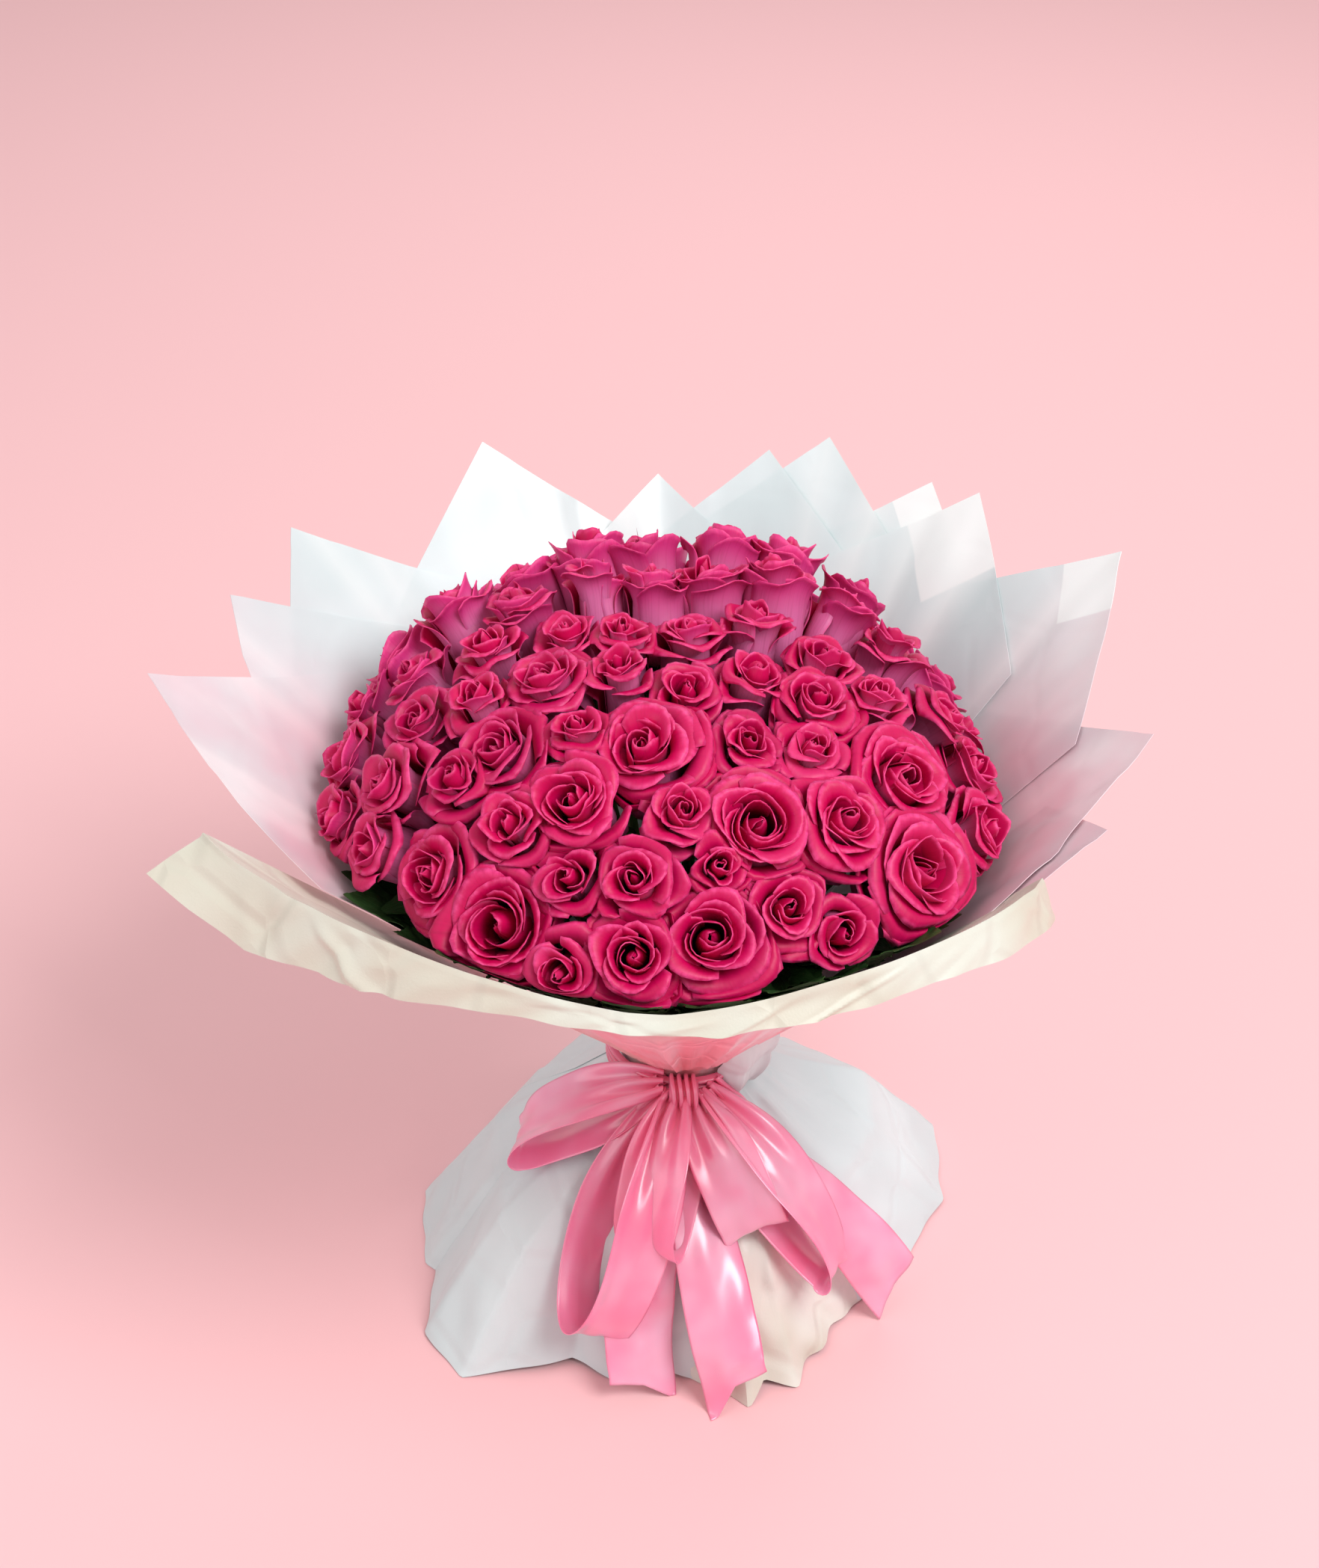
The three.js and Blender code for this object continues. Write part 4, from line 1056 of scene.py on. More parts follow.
def shape_leaf(leaf, foot, tip, normal, width, droop):
    """A folded, toothed leaf from foot to tip, with its upper face along normal."""
    flat = read_points(leaf)
    u, v = grid_shares(flat)
    length = np.linalg.norm(tip - foot)
    forward = (tip - foot) / length
    side = unit(np.cross(forward, normal))
    teeth = 1 + 0.1 * (1 - np.mod(v * 11, 1))
    half = width / 2 * np.sin(np.pi * np.clip(v, 0, 1) ** 0.78) ** 0.85 * teeth + 0.5
    fold = 0.22 * np.abs(u) * half + 0.5 * np.sin(v * 11 * np.pi) * np.abs(u)
    arch = -droop * v ** 2 + 0.4 * droop * np.sin(np.pi * v)
    across = u * half
    points = (foot + (v * length)[:, None] * forward + across[:, None] * -side
              + (fold + arch + flat[:, 2] / MM)[:, None] * normal)
    write_points(leaf, pressed_in(points, head_azimuth(tip)))
    add_attribute(leaf, "outer", flat[:, 2] < 0)


def leaf_places():
    """Foot, tip, upper normal, width and stalk's root of each leaf, beside the rim's blooms."""
    rim = [bloom for bloom in BLOOMS if head_radius(bloom["face"]) > LEAF_RIM_RADIUS]
    for order, bloom in enumerate(rim):
        top, tie, _ = stem_line(bloom)
        turns = [(LEAF_TURN, 1.0, 0)] if order % 2 == 0 else []
        turns += [(LEAF_TURN - 13, 0.8, -6), (LEAF_TURN + 12, 0.75, -4)]
        for turn, size, fall in turns:
            azimuth = bloom["azimuth"] + turn
            normal, limit = wrap_plane(azimuth, LEAF_MARGIN)
            out = polar(azimuth, 1, 0)

            def on_paper(height):
                start = polar(azimuth, 0, height)
                return start + out * (limit - normal @ start) / (normal @ out)

            foot_height = LEAF_FOOT + fall - SIDE_LEAF_FALL * float(smoothstep(abs(azimuth), 45, 75))
            foot = on_paper(foot_height)
            tip = on_paper(foot_height + size * LEAF_LENGTH / math.hypot(1, COLLAR_SLOPE))
            yield foot, tip, -normal, size * LEAF_WIDTH, tie + (top - tie) * STALK_ROOT
            if abs(azimuth) < FILLER_REACH:
                foot = tie + (top - tie) * FILLER_ROOT
                tip = on_paper(foot[2] + 26 + fall) - 5 * out
                yield foot, tip, unit(np.array([0, 0, 1.0]) - 0.4 * out), 0.9 * LEAF_WIDTH, foot - 3 * out


# ---- Paper ----
def pleats(azimuth, share, seed, count=7, height=3.0):
    """Outward relief of folds that run from the waist to the edge, sharper and higher as they rise."""
    random = np.random.default_rng(seed)
    relief = np.zeros_like(share)
    for _ in range(count):
        centre = random.uniform(-180, 180)
        drift = random.uniform(-5, 5)
        width = random.uniform(2.5, 7)
        away = np.abs(near_turn(azimuth - centre - drift * share)) / width
        relief += random.uniform(0.3, 1) * height * np.maximum(0, 1 - away) ** 1.3
    return relief * smoothstep(share, 0.02, 0.9)


def straight_edge(corners, azimuth):
    """Radius and height at an azimuth, on straight edges between corners of azimuth, radius and height."""
    turns, radii, heights = np.array(corners, float).T
    right = np.clip(np.searchsorted(turns, azimuth, side="right"), 1, len(turns) - 1)
    left = right - 1
    before, whole = np.radians(azimuth - turns[left]), np.radians(turns[right] - turns[left])
    radius = radii[left] * radii[right] * np.sin(whole) / (
        radii[left] * np.sin(before) + radii[right] * np.sin(whole - before))
    return radius, np.interp(azimuth, turns, heights)


def add_collar_sheet(settings, sheet, paper):
    name, azimuth, tip, half, layer = sheet
    waist = WAIST_TOP - WAIST_BOTTOM

    def place(u, v):
        turn = azimuth + u * half * SECTOR
        unrolled = np.radians(np.abs(u) * half * SECTOR) * CONE_UNROLLED
        edge = tip * math.sin(TIP_CORNER) / np.sin(TIP_CORNER + unrolled)
        slant = -waist + (edge + waist) * v
        above = np.maximum(slant, 0)
        share = above / PLEAT_SLANT
        ripple = 0.8 * np.sin(np.radians(turn) * 13 + layer) * smoothstep(share, 0.2, 1)
        lift = pleats(turn, share, seed=5, count=46, height=2.6) + ripple
        fold = 2.2 * smoothstep(share, 0.3, 1) * (np.abs((turn - azimuth) / SECTOR + 0.6 * layer - 1) < 0.45)
        curl = 2.5 * smoothstep(v, 0.86, 1) * (1 - np.abs(u)) ** 2
        points = collar_point(turn, above, layer, lift * 0.5 + curl + 0.35 * fold)
        below = polar(turn, WAIST_RADIUS + layer_spread(0, layer), WAIST_TOP + np.minimum(slant, 0))
        return np.where((slant < 0)[:, None], below, points)

    piece = sheet_from_grid(f"collar_paper_{name}", 12 * half, 56, place, settings.paper_thickness)
    mark_plies(piece, sheet)
    return finish_piece(piece, paper, f"collar_sheet_{name}", PAPER_SMOOTH)


def mark_plies(piece, sheet):
    """Marks a collar sheet's doubled tip, its folds that take a painted highlight, and where the blooms' pink
    is painted on as if seen through it.
    """
    name, azimuth, tip, _, _ = sheet
    from_tie = placed_points(piece)
    rise = np.maximum(0, from_tie[:, 2] - WAIST_TOP)
    above = rise * math.hypot(1, COLLAR_SLOPE)
    turn = np.degrees(np.arctan2(from_tie[:, 0] - HEAD_LEAN * rise / LEAN_HEIGHT, -from_tie[:, 1]))
    unrolled = np.radians(near_turn(turn - azimuth)) * CONE_UNROLLED
    nearer = np.minimum(np.sin(TIP_CORNER + unrolled), np.sin(TIP_CORNER - unrolled))
    from_edge = tip * math.sin(TIP_CORNER) - above * nearer
    add_attribute(piece, "tip", from_edge / DOUBLED_TIPS.get(name, 1))
    folds = pleats(turn, above / PLEAT_SLANT, seed=9, count=46, height=1.2)
    add_attribute(piece, "gleam", np.clip(folds, 0, 1))
    # Painted show-through of the blooms' pink, strongest at the listed azimuths and fading higher up.
    blush = np.zeros_like(turn)
    for centre, strength in SHOW_THROUGH_AZIMUTHS:
        away = np.abs(near_turn(turn - centre))
        blush = np.maximum(blush, strength * (1 - smoothstep(away, 12, 52)))
    blush = blush * (1 - 0.5 * smoothstep(above, 170, 290))
    add_attribute(piece, "blush", blush)


def add_front_wrap(settings, material):
    first, last = WRAP_LIP[0][0], WRAP_LIP[-1][0]
    waist_radius = WAIST_RADIUS + layer_spread(0, FRONT_WRAP_LAYER)

    def place(u, v):
        turn = turn_at(u, first, last)
        lip_radius, lip_height = edge_at(WRAP_LIP, turn)
        cuff_radius, cuff_height = edge_at(WRAP_CUFF, turn, reach=2)
        stations = np.array([0, 0.1, 0.66, 0.69, 0.72, 1.0])
        radii = np.stack([0 * turn + waist_radius, 0 * turn + waist_radius,
                          lip_radius, lip_radius + 1.5, lip_radius + 3, cuff_radius])
        heights = np.stack([0 * turn + WAIST_BOTTOM, 0 * turn + WAIST_TOP,
                            lip_height - 1.5, lip_height, lip_height - 2, cuff_height])
        column = np.clip(np.searchsorted(stations, v, side="right") - 1, 0, len(stations) - 2)
        rows = np.arange(len(turn))
        share = (v - stations[column]) / (stations[column + 1] - stations[column])
        radius = radii[column, rows] * (1 - share) + radii[column + 1, rows] * share
        height = heights[column, rows] * (1 - share) + heights[column + 1, rows] * share
        rise = np.clip((height - WAIST_TOP) / 190, 0, 1)
        gathers = pleats(turn, np.ones_like(turn), seed=23, count=80, height=3.4)
        gathers = gathers * smoothstep(rise, 0, 0.08) * (1 - smoothstep(rise, 0.25, 0.7))
        bulge = 4 * np.exp(-((height - WAIST_TOP - 1) / 10) ** 2)
        folds = pleats(turn, rise, seed=11, count=34, height=1.3)
        down = smoothstep(v, 0.7, 0.86)
        crease = 0
        for foot, drift, width, relief in CUFF_CREASES:
            away = np.abs(turn - foot - drift * (v - 0.72) / 0.28)
            crease = crease + relief * np.maximum(0, 1 - away / width)
        around = np.radians(turn)
        wave = down * (1.6 * np.sin(around * 9 + 1) + 0.7 * np.sin(around * 37 + v * 16))
        return leaned(polar(turn, radius + folds + gathers + bulge + wave + crease * down, height))

    piece = sheet_from_grid("front_wrap_paper", 190, 100, place, settings.paper_thickness)
    from_tie = placed_points(piece)
    turn = np.degrees(np.arctan2(from_tie[:, 0], -from_tie[:, 1]))
    neck = smoothstep(from_tie[:, 2], WAIST_TOP + 150, WAIST_TOP + 85)
    # Where the neck takes its pink, partly film and partly painted reflection of the ribbon; weaker on the
    # left.
    add_attribute(piece, "film", neck * (0.35 + 0.65 * smoothstep(turn, -50, -12)))
    relief = pleats(turn, np.ones_like(turn), seed=23, count=80, height=1.0)
    add_attribute(piece, "pleat", (relief - relief.min()) / (relief.max() - relief.min()))
    return finish_piece(piece, material, "front_wrap", PAPER_SMOOTH)


def add_skirt_head(settings, material):
    """Gathered head of the right back skirt sheet, which stands out above the tie beside the knot."""
    first, last = SKIRT_HEAD
    waist_radius = WAIST_RADIUS + layer_spread(0, FRONT_WRAP_LAYER)

    def place(u, v):
        turn = turn_at(u, first, last)
        height = TIE_HEIGHT - 13 + SKIRT_HEAD_HEIGHT * v
        lip_radius, lip_height = edge_at(WRAP_LIP, turn)
        share = np.clip((height - WAIST_TOP) / (lip_height - WAIST_TOP), 0, 1)
        swell = SKIRT_HEAD_SWELL * np.sin(np.pi * (0.08 + 0.92 * v)) * (1 - 0.7 * u ** 6)
        folds = pleats(turn, np.ones_like(turn), seed=5, count=60, height=2.2)
        radius = waist_radius + (lip_radius - waist_radius) * share + swell + (3 + folds) * (1 - v ** 3)
        return leaned(polar(turn, radius, height))

    piece = sheet_from_grid("skirt_paper_head", 60, 30, place, settings.paper_thickness)
    return finish_piece(piece, material, "skirt_right_back", PAPER_SMOOTH)


def add_skirt_sheet(settings, sheet, material):
    name, layer, crinkle, corners = sheet
    start, end = corners[0][0], corners[-1][0]
    top = WAIST_RADIUS + layer_spread(0, SKIRT_INNER) + SKIRT_PRESSED * (layer - SKIRT_INNER)

    def place(u, v):
        turn = turn_at(u, start, end)
        hem_radius, hem_height = straight_edge(corners, turn)
        low = PAPER_LAYER / 2 + hem_height
        height = low + (SKIRT_TOP - low) * v
        share = skirt_fall(height, 0.91)
        fall = np.clip(1 - height / WAIST_BOTTOM, 0, 1)
        gathers = pleats(turn, np.ones_like(turn), seed=31, count=60, height=1.6)
        gathers = gathers * smoothstep(share, 0, 0.12) * (1 - smoothstep(share, 0.25, 0.7))
        creased = crinkle * fall * (1 - u ** 6) * (
            1.8 * np.sin(np.radians(turn) * 31 + height * 0.09) + 1.5 * np.sin(height * 0.21 + turn * 0.35))
        folds = 2.0 * np.sin(np.radians(turn) * 7) * fall + creased
        return polar(turn, top + (hem_radius - top) * share + gathers + folds, height)

    columns = int((end - start) * 1.2)
    piece = sheet_from_grid(f"skirt_paper_{name}", columns, 52, place, settings.paper_thickness)
    return finish_piece(piece, material, f"skirt_{name}", PAPER_SMOOTH)


# ---- Ribbon ----
def gather_angle(shares):
    """Swing of a pleated line whose width across is the given share of its own length."""
    swings = np.linspace(0, 2.2, 60)
    turns = np.linspace(0, 2 * np.pi, 64, endpoint=False)
    widths = np.cos(swings[:, None] * np.sin(turns)).mean(axis=1)
    return np.interp(shares, widths[::-1], swings[::-1])


def loop_line(foot, end, part, opening, twist, rows):
    """A loop's line out from the knot and back, with the way across its ribbon all along it."""
    points = ribbon_route([foot, end])
    length = np.linalg.norm(points[1] - points[0])
    along_loop = (points[1] - points[0]) / length
    outward = unit(np.array([points[1][0], points[1][1], 0.9 * np.hypot(points[1][0], points[1][1])]))
    side = unit(np.cross(along_loop, outward))
    outward = np.cross(side, along_loop)
    turn = np.linspace(0, 2 * np.pi, rows + 1)
    share = (1 - np.cos(turn)) / 2
    angle = np.radians(opening + twist * np.cos(turn))[:, None]
    across = np.cos(angle) * side + np.sin(angle) * outward
    lift = np.cos(math.radians(opening)) * outward - np.sin(math.radians(opening)) * side
    parted = part * np.sin(turn) * share ** 0.35
    hang = 0.05 * length * np.sin(np.pi * share)
    line = (points[0] + (share * length)[:, None] * along_loop + parted[:, None] * lift
            + hang[:, None] * outward)
    return line, across


def tail_line(stations, twist, rows):
    """A tail's line down over the skirt, with the way across its ribbon all along it."""
    path = ribbon_route(stations)
    line = catmull(path, np.linspace(0, len(path) - 1, rows + 1))
    tangent = unit(np.gradient(line, axis=0))
    out = unit(np.stack([line[:, 0], line[:, 1], 0.6 * np.hypot(line[:, 0], line[:, 1])], axis=1))
    level = unit(np.cross(tangent, out))
    angle = np.radians(twist * np.sin(np.linspace(0, 1.6 * np.pi, rows + 1)))[:, None]
    return line, np.cos(angle) * level + np.sin(angle) * np.cross(level, tangent)


def loop_gather(share):
    """Share of its width that a loop keeps along its length, as it is drawn in at both ends."""
    return 0.3 + 0.695 * smoothstep(np.minimum(share, 1 - share), 0.0, 0.26)


def tail_gather(share):
    """Share of its width that a tail keeps along its length, as it is drawn in at the knot."""
    return 0.28 + 0.715 * smoothstep(share, 0.03, 0.42)


def line_length(line):
    return float(np.linalg.norm(np.diff(line, axis=0), axis=1).sum())


def square_to(tangent, vectors):
    """Unit vectors at right angles to a line's tangents, and as near as can be to those given."""
    return unit(vectors - tangent * (vectors * tangent).sum(axis=1, keepdims=True))


def pleated_section(shares, pleat_count, phase, columns, cup=0.0):
    """Each column's place to the side and out of a ribbon that pleats draw in to shares of its width."""
    s = np.linspace(0, 1, columns + 1)
    swing = gather_angle(shares)[:, None]
    heading = swing * np.sin(2 * np.pi * pleat_count * s + phase) + cup * (2 * s - 1)
    middle = (heading[:, 1:] + heading[:, :-1]) / 2
    zero = np.zeros((len(shares), 1))
    sideways = np.hstack([zero, np.cumsum(np.cos(middle), axis=1)]) * RIBBON_WIDTH / columns
    standing = np.hstack([zero, np.cumsum(np.sin(middle), axis=1)]) * RIBBON_WIDTH / columns
    return sideways - sideways[:, -1:] / 2, standing


def ribbon_piece(settings, name, line, across, gather, cup, cut):
    """A ribbon along a line, whose width is drawn in to gather's share of it by pleats that keep its area."""
    rows = len(line) - 1
    tangent = unit(np.gradient(line, axis=0))
    across = square_to(tangent, across)
    lift = np.cross(across, tangent)
    shares = gather(np.linspace(0, 1, rows + 1))
    sideways, standing = pleated_section(shares, RIBBON_PLEATS, 0.7, RIBBON_COLUMNS, cup)
    standing -= standing.mean(axis=1, keepdims=True)
    piece = add_grid(name, RIBBON_COLUMNS, rows)
    flat = read_points(piece)
    column, row = grid_cells(flat, RIBBON_COLUMNS, rows)
    u, v = flat[:, 0], row / rows
    shimmer = 0.9 * np.sin(v * 17 + u * 1.5) + 0.5 * np.sin(v * 31 - u * 3.1)
    shimmer = shimmer * smoothstep(shares[row], 0.4, 0.9)
    notch = 0.3 * abs(cut) * (np.abs(u) - 0.5)
    slant = (cut / 2 * u + notch) * smoothstep(v, 0.75, 1)
    points = (line[row] + sideways[row, column][:, None] * across[row]
              + (standing[row, column] + shimmer)[:, None] * lift[row]
              + slant[:, None] * tangent[row])
    points[:, 2] = np.maximum(points[:, 2], RIBBON_LOWEST)
    write_points(piece, points)
    # Where the ribbon is drawn in, it takes the painted shade.
    add_attribute(piece, "gather", 1 - smoothstep(shares[row], 0.3, 0.75))
    apply_modifier(piece, "SOLIDIFY", thickness=settings.ribbon_thickness * MM, offset=0)
    return piece, line_length(line)


def ribbon_band(settings, name, route, share):
    """A ribbon wound round the tie or over the knot, drawn in by pleats along it."""
    steps = np.linspace(0, len(route) - 1, BAND_ROWS + 1)
    line = catmull(route, steps)
    tangent = unit(np.gradient(line, axis=0))
    lift = square_to(tangent, line - line.mean(axis=0))
    across = np.cross(tangent, lift)
    drift = 0.5 * np.sin(steps / steps[-1] * 9)[:, None]
    shares = np.full(BAND_ROWS + 1, share)
    sideways, standing = pleated_section(shares, BAND_PLEATS, drift, BAND_COLUMNS)
    standing -= standing.min(axis=1, keepdims=True)
    piece = add_grid(name, BAND_COLUMNS, BAND_ROWS)
    column, row = grid_cells(read_points(piece), BAND_COLUMNS, BAND_ROWS)
    write_points(piece, line[row] + sideways[row, column][:, None] * across[row]
                 + standing[row, column][:, None] * lift[row])
    # The band and the knot are drawn in all along, so they take the painted shade all over.
    add_attribute(piece, "gather", np.ones(len(row)))
    apply_modifier(piece, "SOLIDIFY", thickness=settings.ribbon_thickness * MM, offset=0)
    return piece, line_length(line)


def catmull(points, steps):
    """Smooth line through points at parameters counted in points."""
    before = np.vstack([2 * points[0] - points[1], points, 2 * points[-1] - points[-2]])
    index = np.clip(steps.astype(int), 0, len(points) - 2)
    x = (steps - index)[:, None]
    a, b, c, d = (before[index + k] for k in range(4))
    square, cube = 2 * a - 5 * b + 4 * c - d, 3 * b - a - 3 * c + d
    return 0.5 * (2 * b + (c - a) * x + square * x ** 2 + cube * x ** 3)


def ribbon_route(stations):
    azimuth, height, lift = np.array(stations, float).T
    return polar(azimuth, skirt_radius(azimuth, height, SKIRT_OUTER) + PAPER_LAYER + lift, height)


# ---- Settings ----
def colour(name, description, value):
    return bpy.props.FloatVectorProperty(name=name, description=description, subtype="COLOR", size=4,
                                         min=0, max=1, default=(*value, 1))


class BouquetSettings(bpy.types.PropertyGroup):
    """Sizes and colours of the bouquet."""

    petal_inside: colour("Petal inside", "Inner face of the petals", (0.62, 0.0, 0.095))
    # Painted shade at the foot of the petals, and the colour of their veins.
    petal_shade_and_veins: colour("Petal throat", "Foot of the petals and their veins", (0.27, 0.0, 0.024))
    petal_edge: colour("Petal edge", "Rolled rims of the petals", (1.0, 0.09, 0.33))
    petal_back: colour("Petal back", "Outer face of the petals", (0.66, 0.03, 0.22))
    petal_pale: colour("Pale petal back", "Foot of the petals' outer face", (0.72, 0.16, 0.38))
    petal_aged: colour("Aged petal", "Petals that have begun to wilt", (0.42, 0.006, 0.10))
    petal_thickness: bpy.props.FloatProperty(
        name="Petal thickness", description="In millimetres", default=0.45, min=0.2, max=1)
    petals_bud: bpy.props.IntProperty(
        name="Petals of a bud", description="Petals of a closed bloom", default=10, min=6, max=40)
    petals_open: bpy.props.IntProperty(
        name="Petals of a full bloom", description="Petals of a bloom that is full open",
        default=26, min=12, max=60)
    leaf_colour: colour("Leaf", "Upper side of the leaves", (0.055, 0.14, 0.035))
    leaf_dark: colour("Dark leaf", "Shaded patches of leaves and stems", (0.014, 0.05, 0.014))
    leaf_under: colour("Leaf underside", "Underside and veins of the leaves", (0.10, 0.17, 0.06))
    stem_colour: colour("Stem", "Bark of the stems", (0.13, 0.22, 0.06))
    twine_colour: colour("Twine", "Twine round the stems", (0.46, 0.33, 0.16))
    paper_colour: colour("Paper", "White wrapping paper", (0.72, 0.82, 0.83))
    paper_shade: colour("Paper shade", "Thicker clouds in the paper", (0.65, 0.75, 0.76))
    wrap_colour: colour("Front wrap", "Cream paper round the front", (0.70, 0.73, 0.64))
    lining_colour: colour("Skirt lining", "Cream paper in the skirt", (0.84, 0.84, 0.78))
    wrap_shade: colour("Front wrap shade", "Thicker clouds in the cream paper", (0.64, 0.62, 0.51))
    paper_thickness: bpy.props.FloatProperty(
        name="Paper thickness", description="In millimetres", default=0.35, min=0.1, max=1)
    ribbon_colour: colour("Ribbon", "Satin ribbon", (1.0, 0.21, 0.38))
    ribbon_light: colour("Ribbon light", "Where the satin catches light", (1.0, 0.40, 0.58))
    # Painted shade in the ribbon's gathers, and the colour of its woven edge.
    ribbon_shade_and_selvedge: colour("Ribbon shade", "Gathers and woven edge of the ribbon", (1.0, 0.10, 0.24))
    ribbon_thickness: bpy.props.FloatProperty(
        name="Ribbon thickness", description="In millimetres", default=0.4, min=0.1, max=1)
    floor_colour: colour("Floor", "Plain pale floor", (0.92, 0.54, 0.56))


# ---- Operators ----
class BOUQUET_OT_stage(bpy.types.Operator):
    """Adds the plain floor, the soft studio light and the camera at the photograph's angle."""

    bl_idname = "bouquet.add_stage"
    bl_label = "Add Stage"

    def execute(self, context):
        bpy.ops.object.select_all(action="DESELECT")
        bpy.ops.mesh.primitive_plane_add(size=FLOOR_SIZE)
        floor = context.object
        floor.name = "floor"
        shader = Shader("plain floor")
        shader.set(Base_Color=context.scene.bouquet.floor_colour, Roughness=0.85)
        floor.data.materials.append(shader.material)
        for light in LIGHTS:
            self.add_light(*light)
        self.add_world(context.scene)
        self.add_camera(context.scene)
        return {"FINISHED"}

    def add_light(self, name, place, size, power):
        data = bpy.data.lights.new(name, "AREA")
        data.size = size
        data.energy = power
        light = bpy.data.objects.new(name, data)
        light.location = place
        light.rotation_euler = (LIGHT_TARGET - light.location).to_track_quat("-Z", "Y").to_euler()
        bpy.context.scene.collection.objects.link(light)

    def add_world(self, scene):
        world = bpy.data.worlds.new("soft room")
        world.use_nodes = True
        background = world.node_tree.nodes["Background"]
        background.inputs["Color"].default_value = ROOM_COLOUR
        background.inputs["Strength"].default_value = ROOM_STRENGTH
        scene.world = world
        scene.view_settings.view_transform = "Standard"
        scene.view_settings.look = "None"

    def add_camera(self, scene):
        data = bpy.data.cameras.new("photo_camera")
        data.sensor_width = SENSOR
        data.lens = FOCAL_PIXELS * SENSOR / IMAGE_HEIGHT
        data.clip_start, data.clip_end = 0.05, 30
        camera = bpy.data.objects.new("photo_camera", data)
        target = Vector(np.array(CAMERA_TARGET) * MM + TIE_AXIS)
        angle = math.radians(CAMERA_ELEVATION)
        camera.location = target + Vector((0, -math.cos(angle), math.sin(angle))) * CAMERA_DISTANCE * MM
        camera.rotation_euler = (math.pi / 2 - angle, 0, 0)
        scene.collection.objects.link(camera)
        scene.camera = camera


class BOUQUET_OT_roses(bpy.types.Operator):
    """Adds the roses, each from a stack of petals, joined as their CAD nodes are."""

    bl_idname = "bouquet.add_roses"
    bl_label = "Add Roses"

    def execute(self, context):
        settings = context.scene.bouquet
        material = petal_material(settings, veins_group())
        stacks = {}
        for number, cluster in enumerate(CLUSTERS, start=1):
            roses = []
            for bloom in cluster:
                count = self.petal_count(settings, bloom)
                if count not in stacks:
                    stacks[count] = flat_stack("petals", PETAL_COLUMNS, PETAL_ROWS, count,
                                               settings.petal_thickness)
                rose = copy_of(stacks[count], f"rose_{bloom['index'] + 1}")
                shape_rose(rose, bloom, settings.petal_thickness)
                roses.append(rose)
            finish_piece(join(roses, f"rose_petals_{number:02d}"), material, f"roses_{number:02d}")
        for stack in stacks.values():
            remove(stack)
        return {"FINISHED"}

    def petal_count(self, settings, bloom):
        """More petals for a wider and a more open bloom."""
        share = min(1, 0.35 * bloom["form"] + 0.65 * smoothstep(bloom["width"], 26, 54))
        return round(settings.petals_bud + (settings.petals_open - settings.petals_bud) * float(share))


class BOUQUET_OT_foliage(bpy.types.Operator):
    """Adds the stems with their hips, the sepals and the leaves."""

    bl_idname = "bouquet.add_foliage"
    bl_label = "Add Stems and Leaves"

    def execute(self, context):
        settings = context.scene.bouquet
        leafy = leaf_material(settings, bpy.data.node_groups["Fanned veins"])
        self.add_stems(stem_material(settings))
        self.add_sepals(leafy)
        self.add_leaves(leafy)
        return {"FINISHED"}

    def add_stems(self, material):
        bar = add_stalk("bar", STEM_SIDES, STEM_RINGS)
        stems = [copy_of(bar, f"stem_{bloom['index'] + 1}") for bloom in BLOOMS]
        for stem, bloom in zip(stems, BLOOMS):
            shape_stem(stem, bloom)
        for foot, _, _, _, root in leaf_places():
            stalk = copy_of(bar, "leaf_stalk")
            centres = root + np.linspace(0, 1, STEM_RINGS + 1)[:, None] * (foot - root)
            shape_stalk(stalk, centres, np.full(STEM_RINGS + 1, LEAF_STALK_RADIUS))
            stems.append(stalk)
        remove(bar)
        finish_piece(join(stems, "rose_stems"), material, "stems_and_leaves", 50)

    def add_sepals(self, material):
        pattern = flat_stack("sepals", 2, 8, SEPAL_COUNT, SEPAL_THICKNESS)
        sepals = [copy_of(pattern, f"sepals_{bloom['index'] + 1}") for bloom in BLOOMS]
        for piece, bloom in zip(sepals, BLOOMS):
            shape_sepals(piece, bloom)
        remove(pattern)
        finish_piece(join(sepals, "rose_sepals"), material, "stems_and_leaves")

    def add_leaves(self, material):
        pattern = add_grid("leaf", 8, 44)
        apply_modifier(pattern, "SOLIDIFY", thickness=LEAF_THICKNESS * MM, offset=0)
        leaves = []
        for foot, tip, normal, width, _ in leaf_places():
            leaf = copy_of(pattern, f"leaf_{len(leaves) + 1}")
            shape_leaf(leaf, foot, tip, normal, width, droop=4 + 2 * (len(leaves) % 3))
            leaves.append(leaf)
        remove(pattern)
        finish_piece(join(leaves, "rose_leaves"), material, "stems_and_leaves", 40)


class BOUQUET_OT_binding(bpy.types.Operator):
    """Gives the binding round the stems its twine."""

    bl_idname = "bouquet.finish_binding"
    bl_label = "Finish Binding"

    def execute(self, context):
        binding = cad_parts["stem_binding"]
        binding.data.materials.clear()
        binding.data.materials.append(twine_material(context.scene.bouquet))
        return {"FINISHED"}


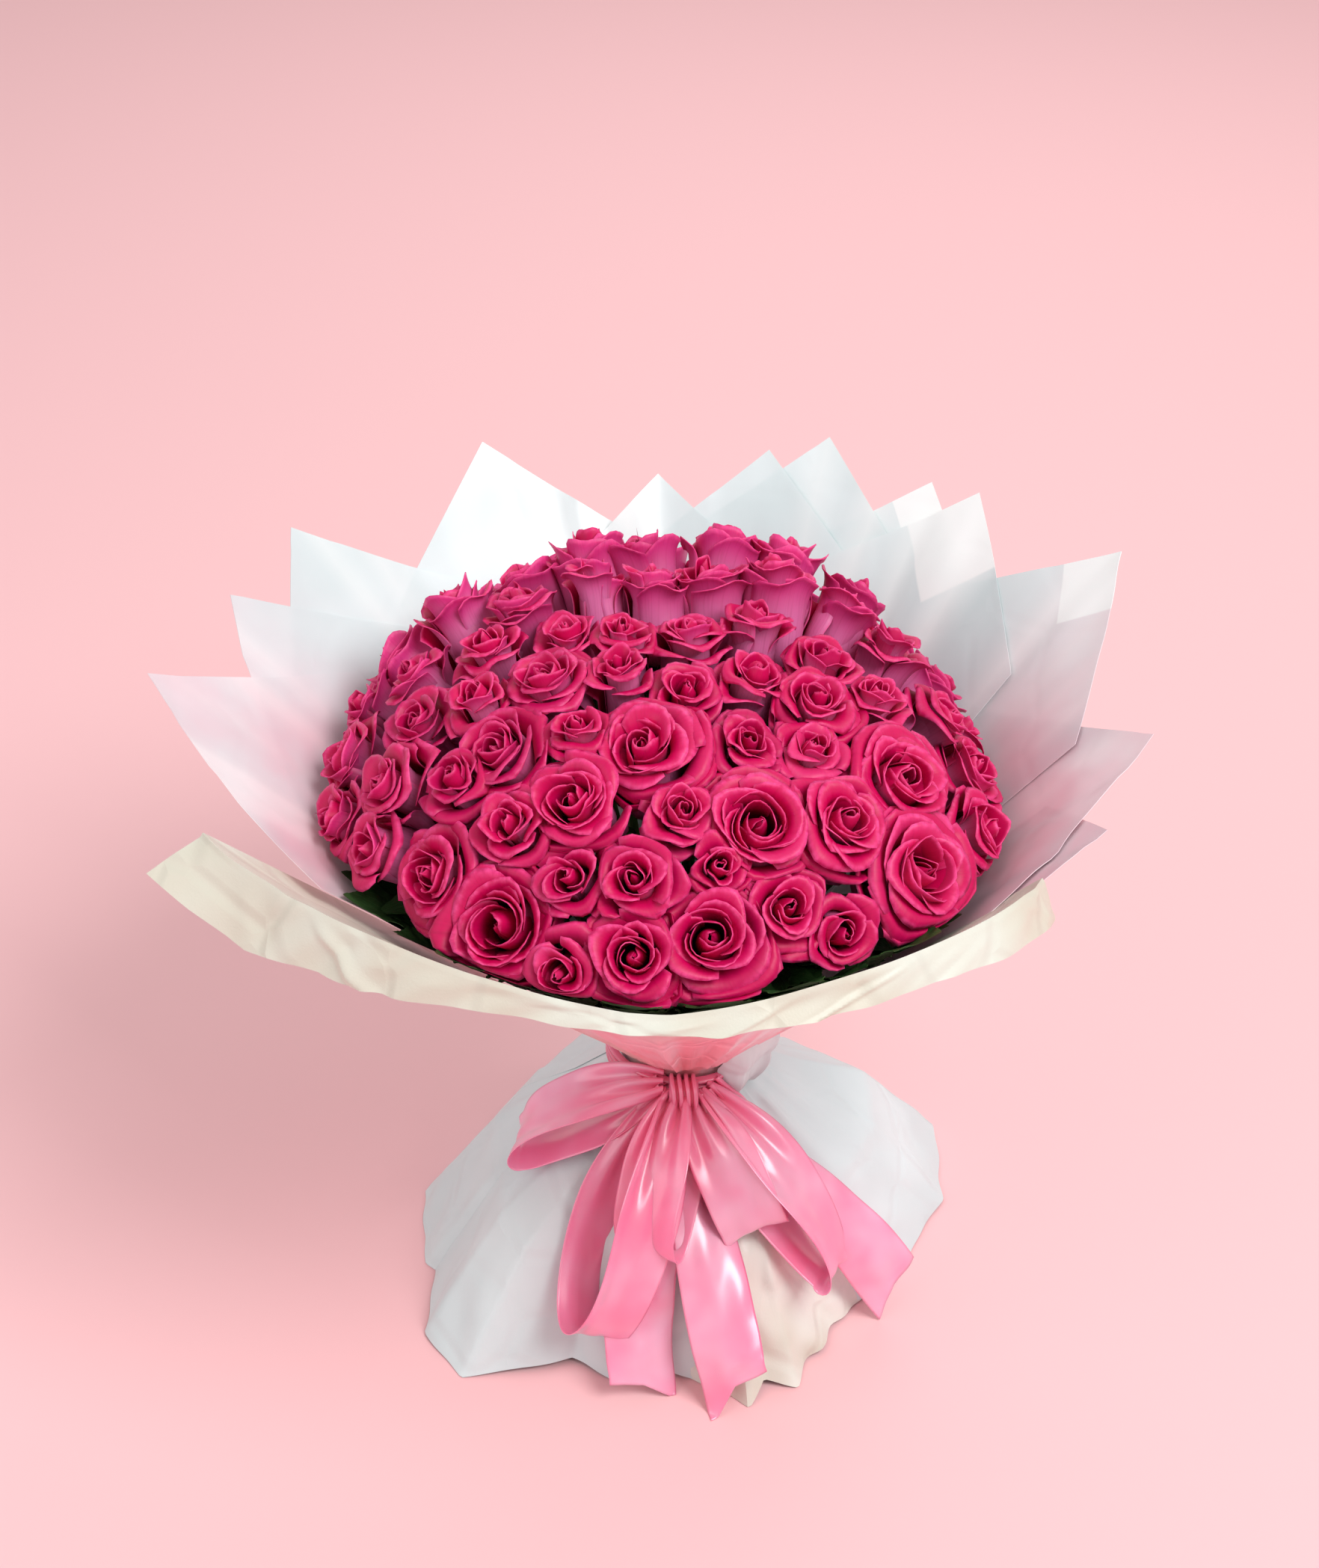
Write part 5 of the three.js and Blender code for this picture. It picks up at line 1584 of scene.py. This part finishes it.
class BOUQUET_OT_paper(bpy.types.Operator):
    """Adds the collar's sheets, the front wrap with its cuff and the skirt."""

    bl_idname = "bouquet.add_paper"
    bl_label = "Add Paper"

    def execute(self, context):
        settings = context.scene.bouquet
        grain = paper_grain_group()
        whites = settings.paper_colour, settings.paper_shade
        white = paper_material("white wrapping paper", *whites, grain, gloss=0.34, creases=0.07,
                               blush=PAINTED_SHOW_THROUGH_PINK)
        cream = paper_material("cream wrapping paper", settings.wrap_colour, settings.wrap_shade, grain,
                               gloss=0.42, creases=0.6, film=FILM_AND_REFLECTION_PINK)
        matt = paper_material("skirt paper", *whites, grain, gloss=0.5, creases=0.35)
        lining = paper_material("cream skirt paper", settings.lining_colour, settings.wrap_shade, grain,
                                gloss=0.45, creases=0.6)
        for sheet in COLLAR_SHEETS:
            add_collar_sheet(settings, sheet, white)
        add_front_wrap(settings, cream)
        for sheet in SKIRT_SHEETS:
            add_skirt_sheet(settings, sheet, lining if sheet[0] == "right_front" else matt)
        add_skirt_head(settings, matt)
        return {"FINISHED"}


class BOUQUET_OT_ribbon(bpy.types.Operator):
    """Adds the satin ribbon: its band, knot, loops and tails."""

    bl_idname = "bouquet.add_ribbon"
    bl_label = "Add Ribbon"

    def execute(self, context):
        settings = context.scene.bouquet
        satin = ribbon_material(settings)
        for name, foot, end, part, opening, twist in BOW_LOOPS:
            line, across = loop_line(foot, end, part, opening, twist, LOOP_ROWS)
            piece, length = ribbon_piece(
                settings, f"ribbon_loop_{name}", line, across, loop_gather, LOOP_CUP, cut=0)
            self.finish_strip(piece, length, satin, "gathered")
        for name, twist, cut, stations in BOW_TAILS:
            line, across = tail_line(stations, twist, TAIL_ROWS)
            piece, length = ribbon_piece(
                settings, f"ribbon_tail_{name}", line, across, tail_gather, TAIL_CUP, cut)
            self.finish_strip(piece, length, satin, "hung")
        inner = WAIST_RADIUS + layer_spread(0, SKIRT_BACK) + PAPER_LAYER / 2 + BAND_CLEAR
        band = polar(np.linspace(0, 359, 25), inner, TIE_HEIGHT)
        piece, length = ribbon_band(settings, "ribbon_band", band, BAND_SHARE)
        self.finish_strip(piece, length, satin, "gathered")
        turns = np.radians(np.linspace(-160, 160, 13))
        knot = np.stack([0 * turns, -inner - KNOT_STAND - KNOT_RADIUS * np.cos(turns),
                         TIE_HEIGHT + KNOT_RISE + KNOT_RADIUS * np.sin(turns)], axis=1)
        piece, length = ribbon_band(settings, "ribbon_knot", knot, KNOT_SHARE)
        self.finish_strip(piece, length, satin, "gathered")
        return {"FINISHED"}

    def finish_strip(self, piece, length, satin, held):
        finish_piece(piece, satin, "ribbon_bow")


class BOUQUET_PT_panel(bpy.types.Panel):
    """Lists the steps that build the bouquet."""

    bl_idname = "BOUQUET_PT_panel"
    bl_label = "Rose Bouquet"
    bl_space_type = "VIEW_3D"
    bl_region_type = "UI"
    bl_category = "Bouquet"

    def draw(self, context):
        for operator in OPERATORS:
            self.layout.operator(operator.bl_idname)
        for name in BouquetSettings.__annotations__:
            self.layout.prop(context.scene.bouquet, name)


OPERATORS = (BOUQUET_OT_stage, BOUQUET_OT_roses, BOUQUET_OT_foliage, BOUQUET_OT_binding, BOUQUET_OT_paper,
             BOUQUET_OT_ribbon)
CLASSES = (BouquetSettings, *OPERATORS, BOUQUET_PT_panel)


def register():
    for cls in CLASSES:
        bpy.utils.register_class(cls)
    bpy.types.Scene.bouquet = bpy.props.PointerProperty(type=BouquetSettings)


def unregister():
    del bpy.types.Scene.bouquet
    for cls in reversed(CLASSES):
        bpy.utils.unregister_class(cls)


def main():
    register()
    bpy.ops.bouquet.add_stage()
    bpy.ops.bouquet.add_roses()
    bpy.ops.bouquet.add_foliage()
    bpy.ops.bouquet.finish_binding()
    bpy.ops.bouquet.add_paper()
    bpy.ops.bouquet.add_ribbon()


if __name__ == "__main__":
    main()
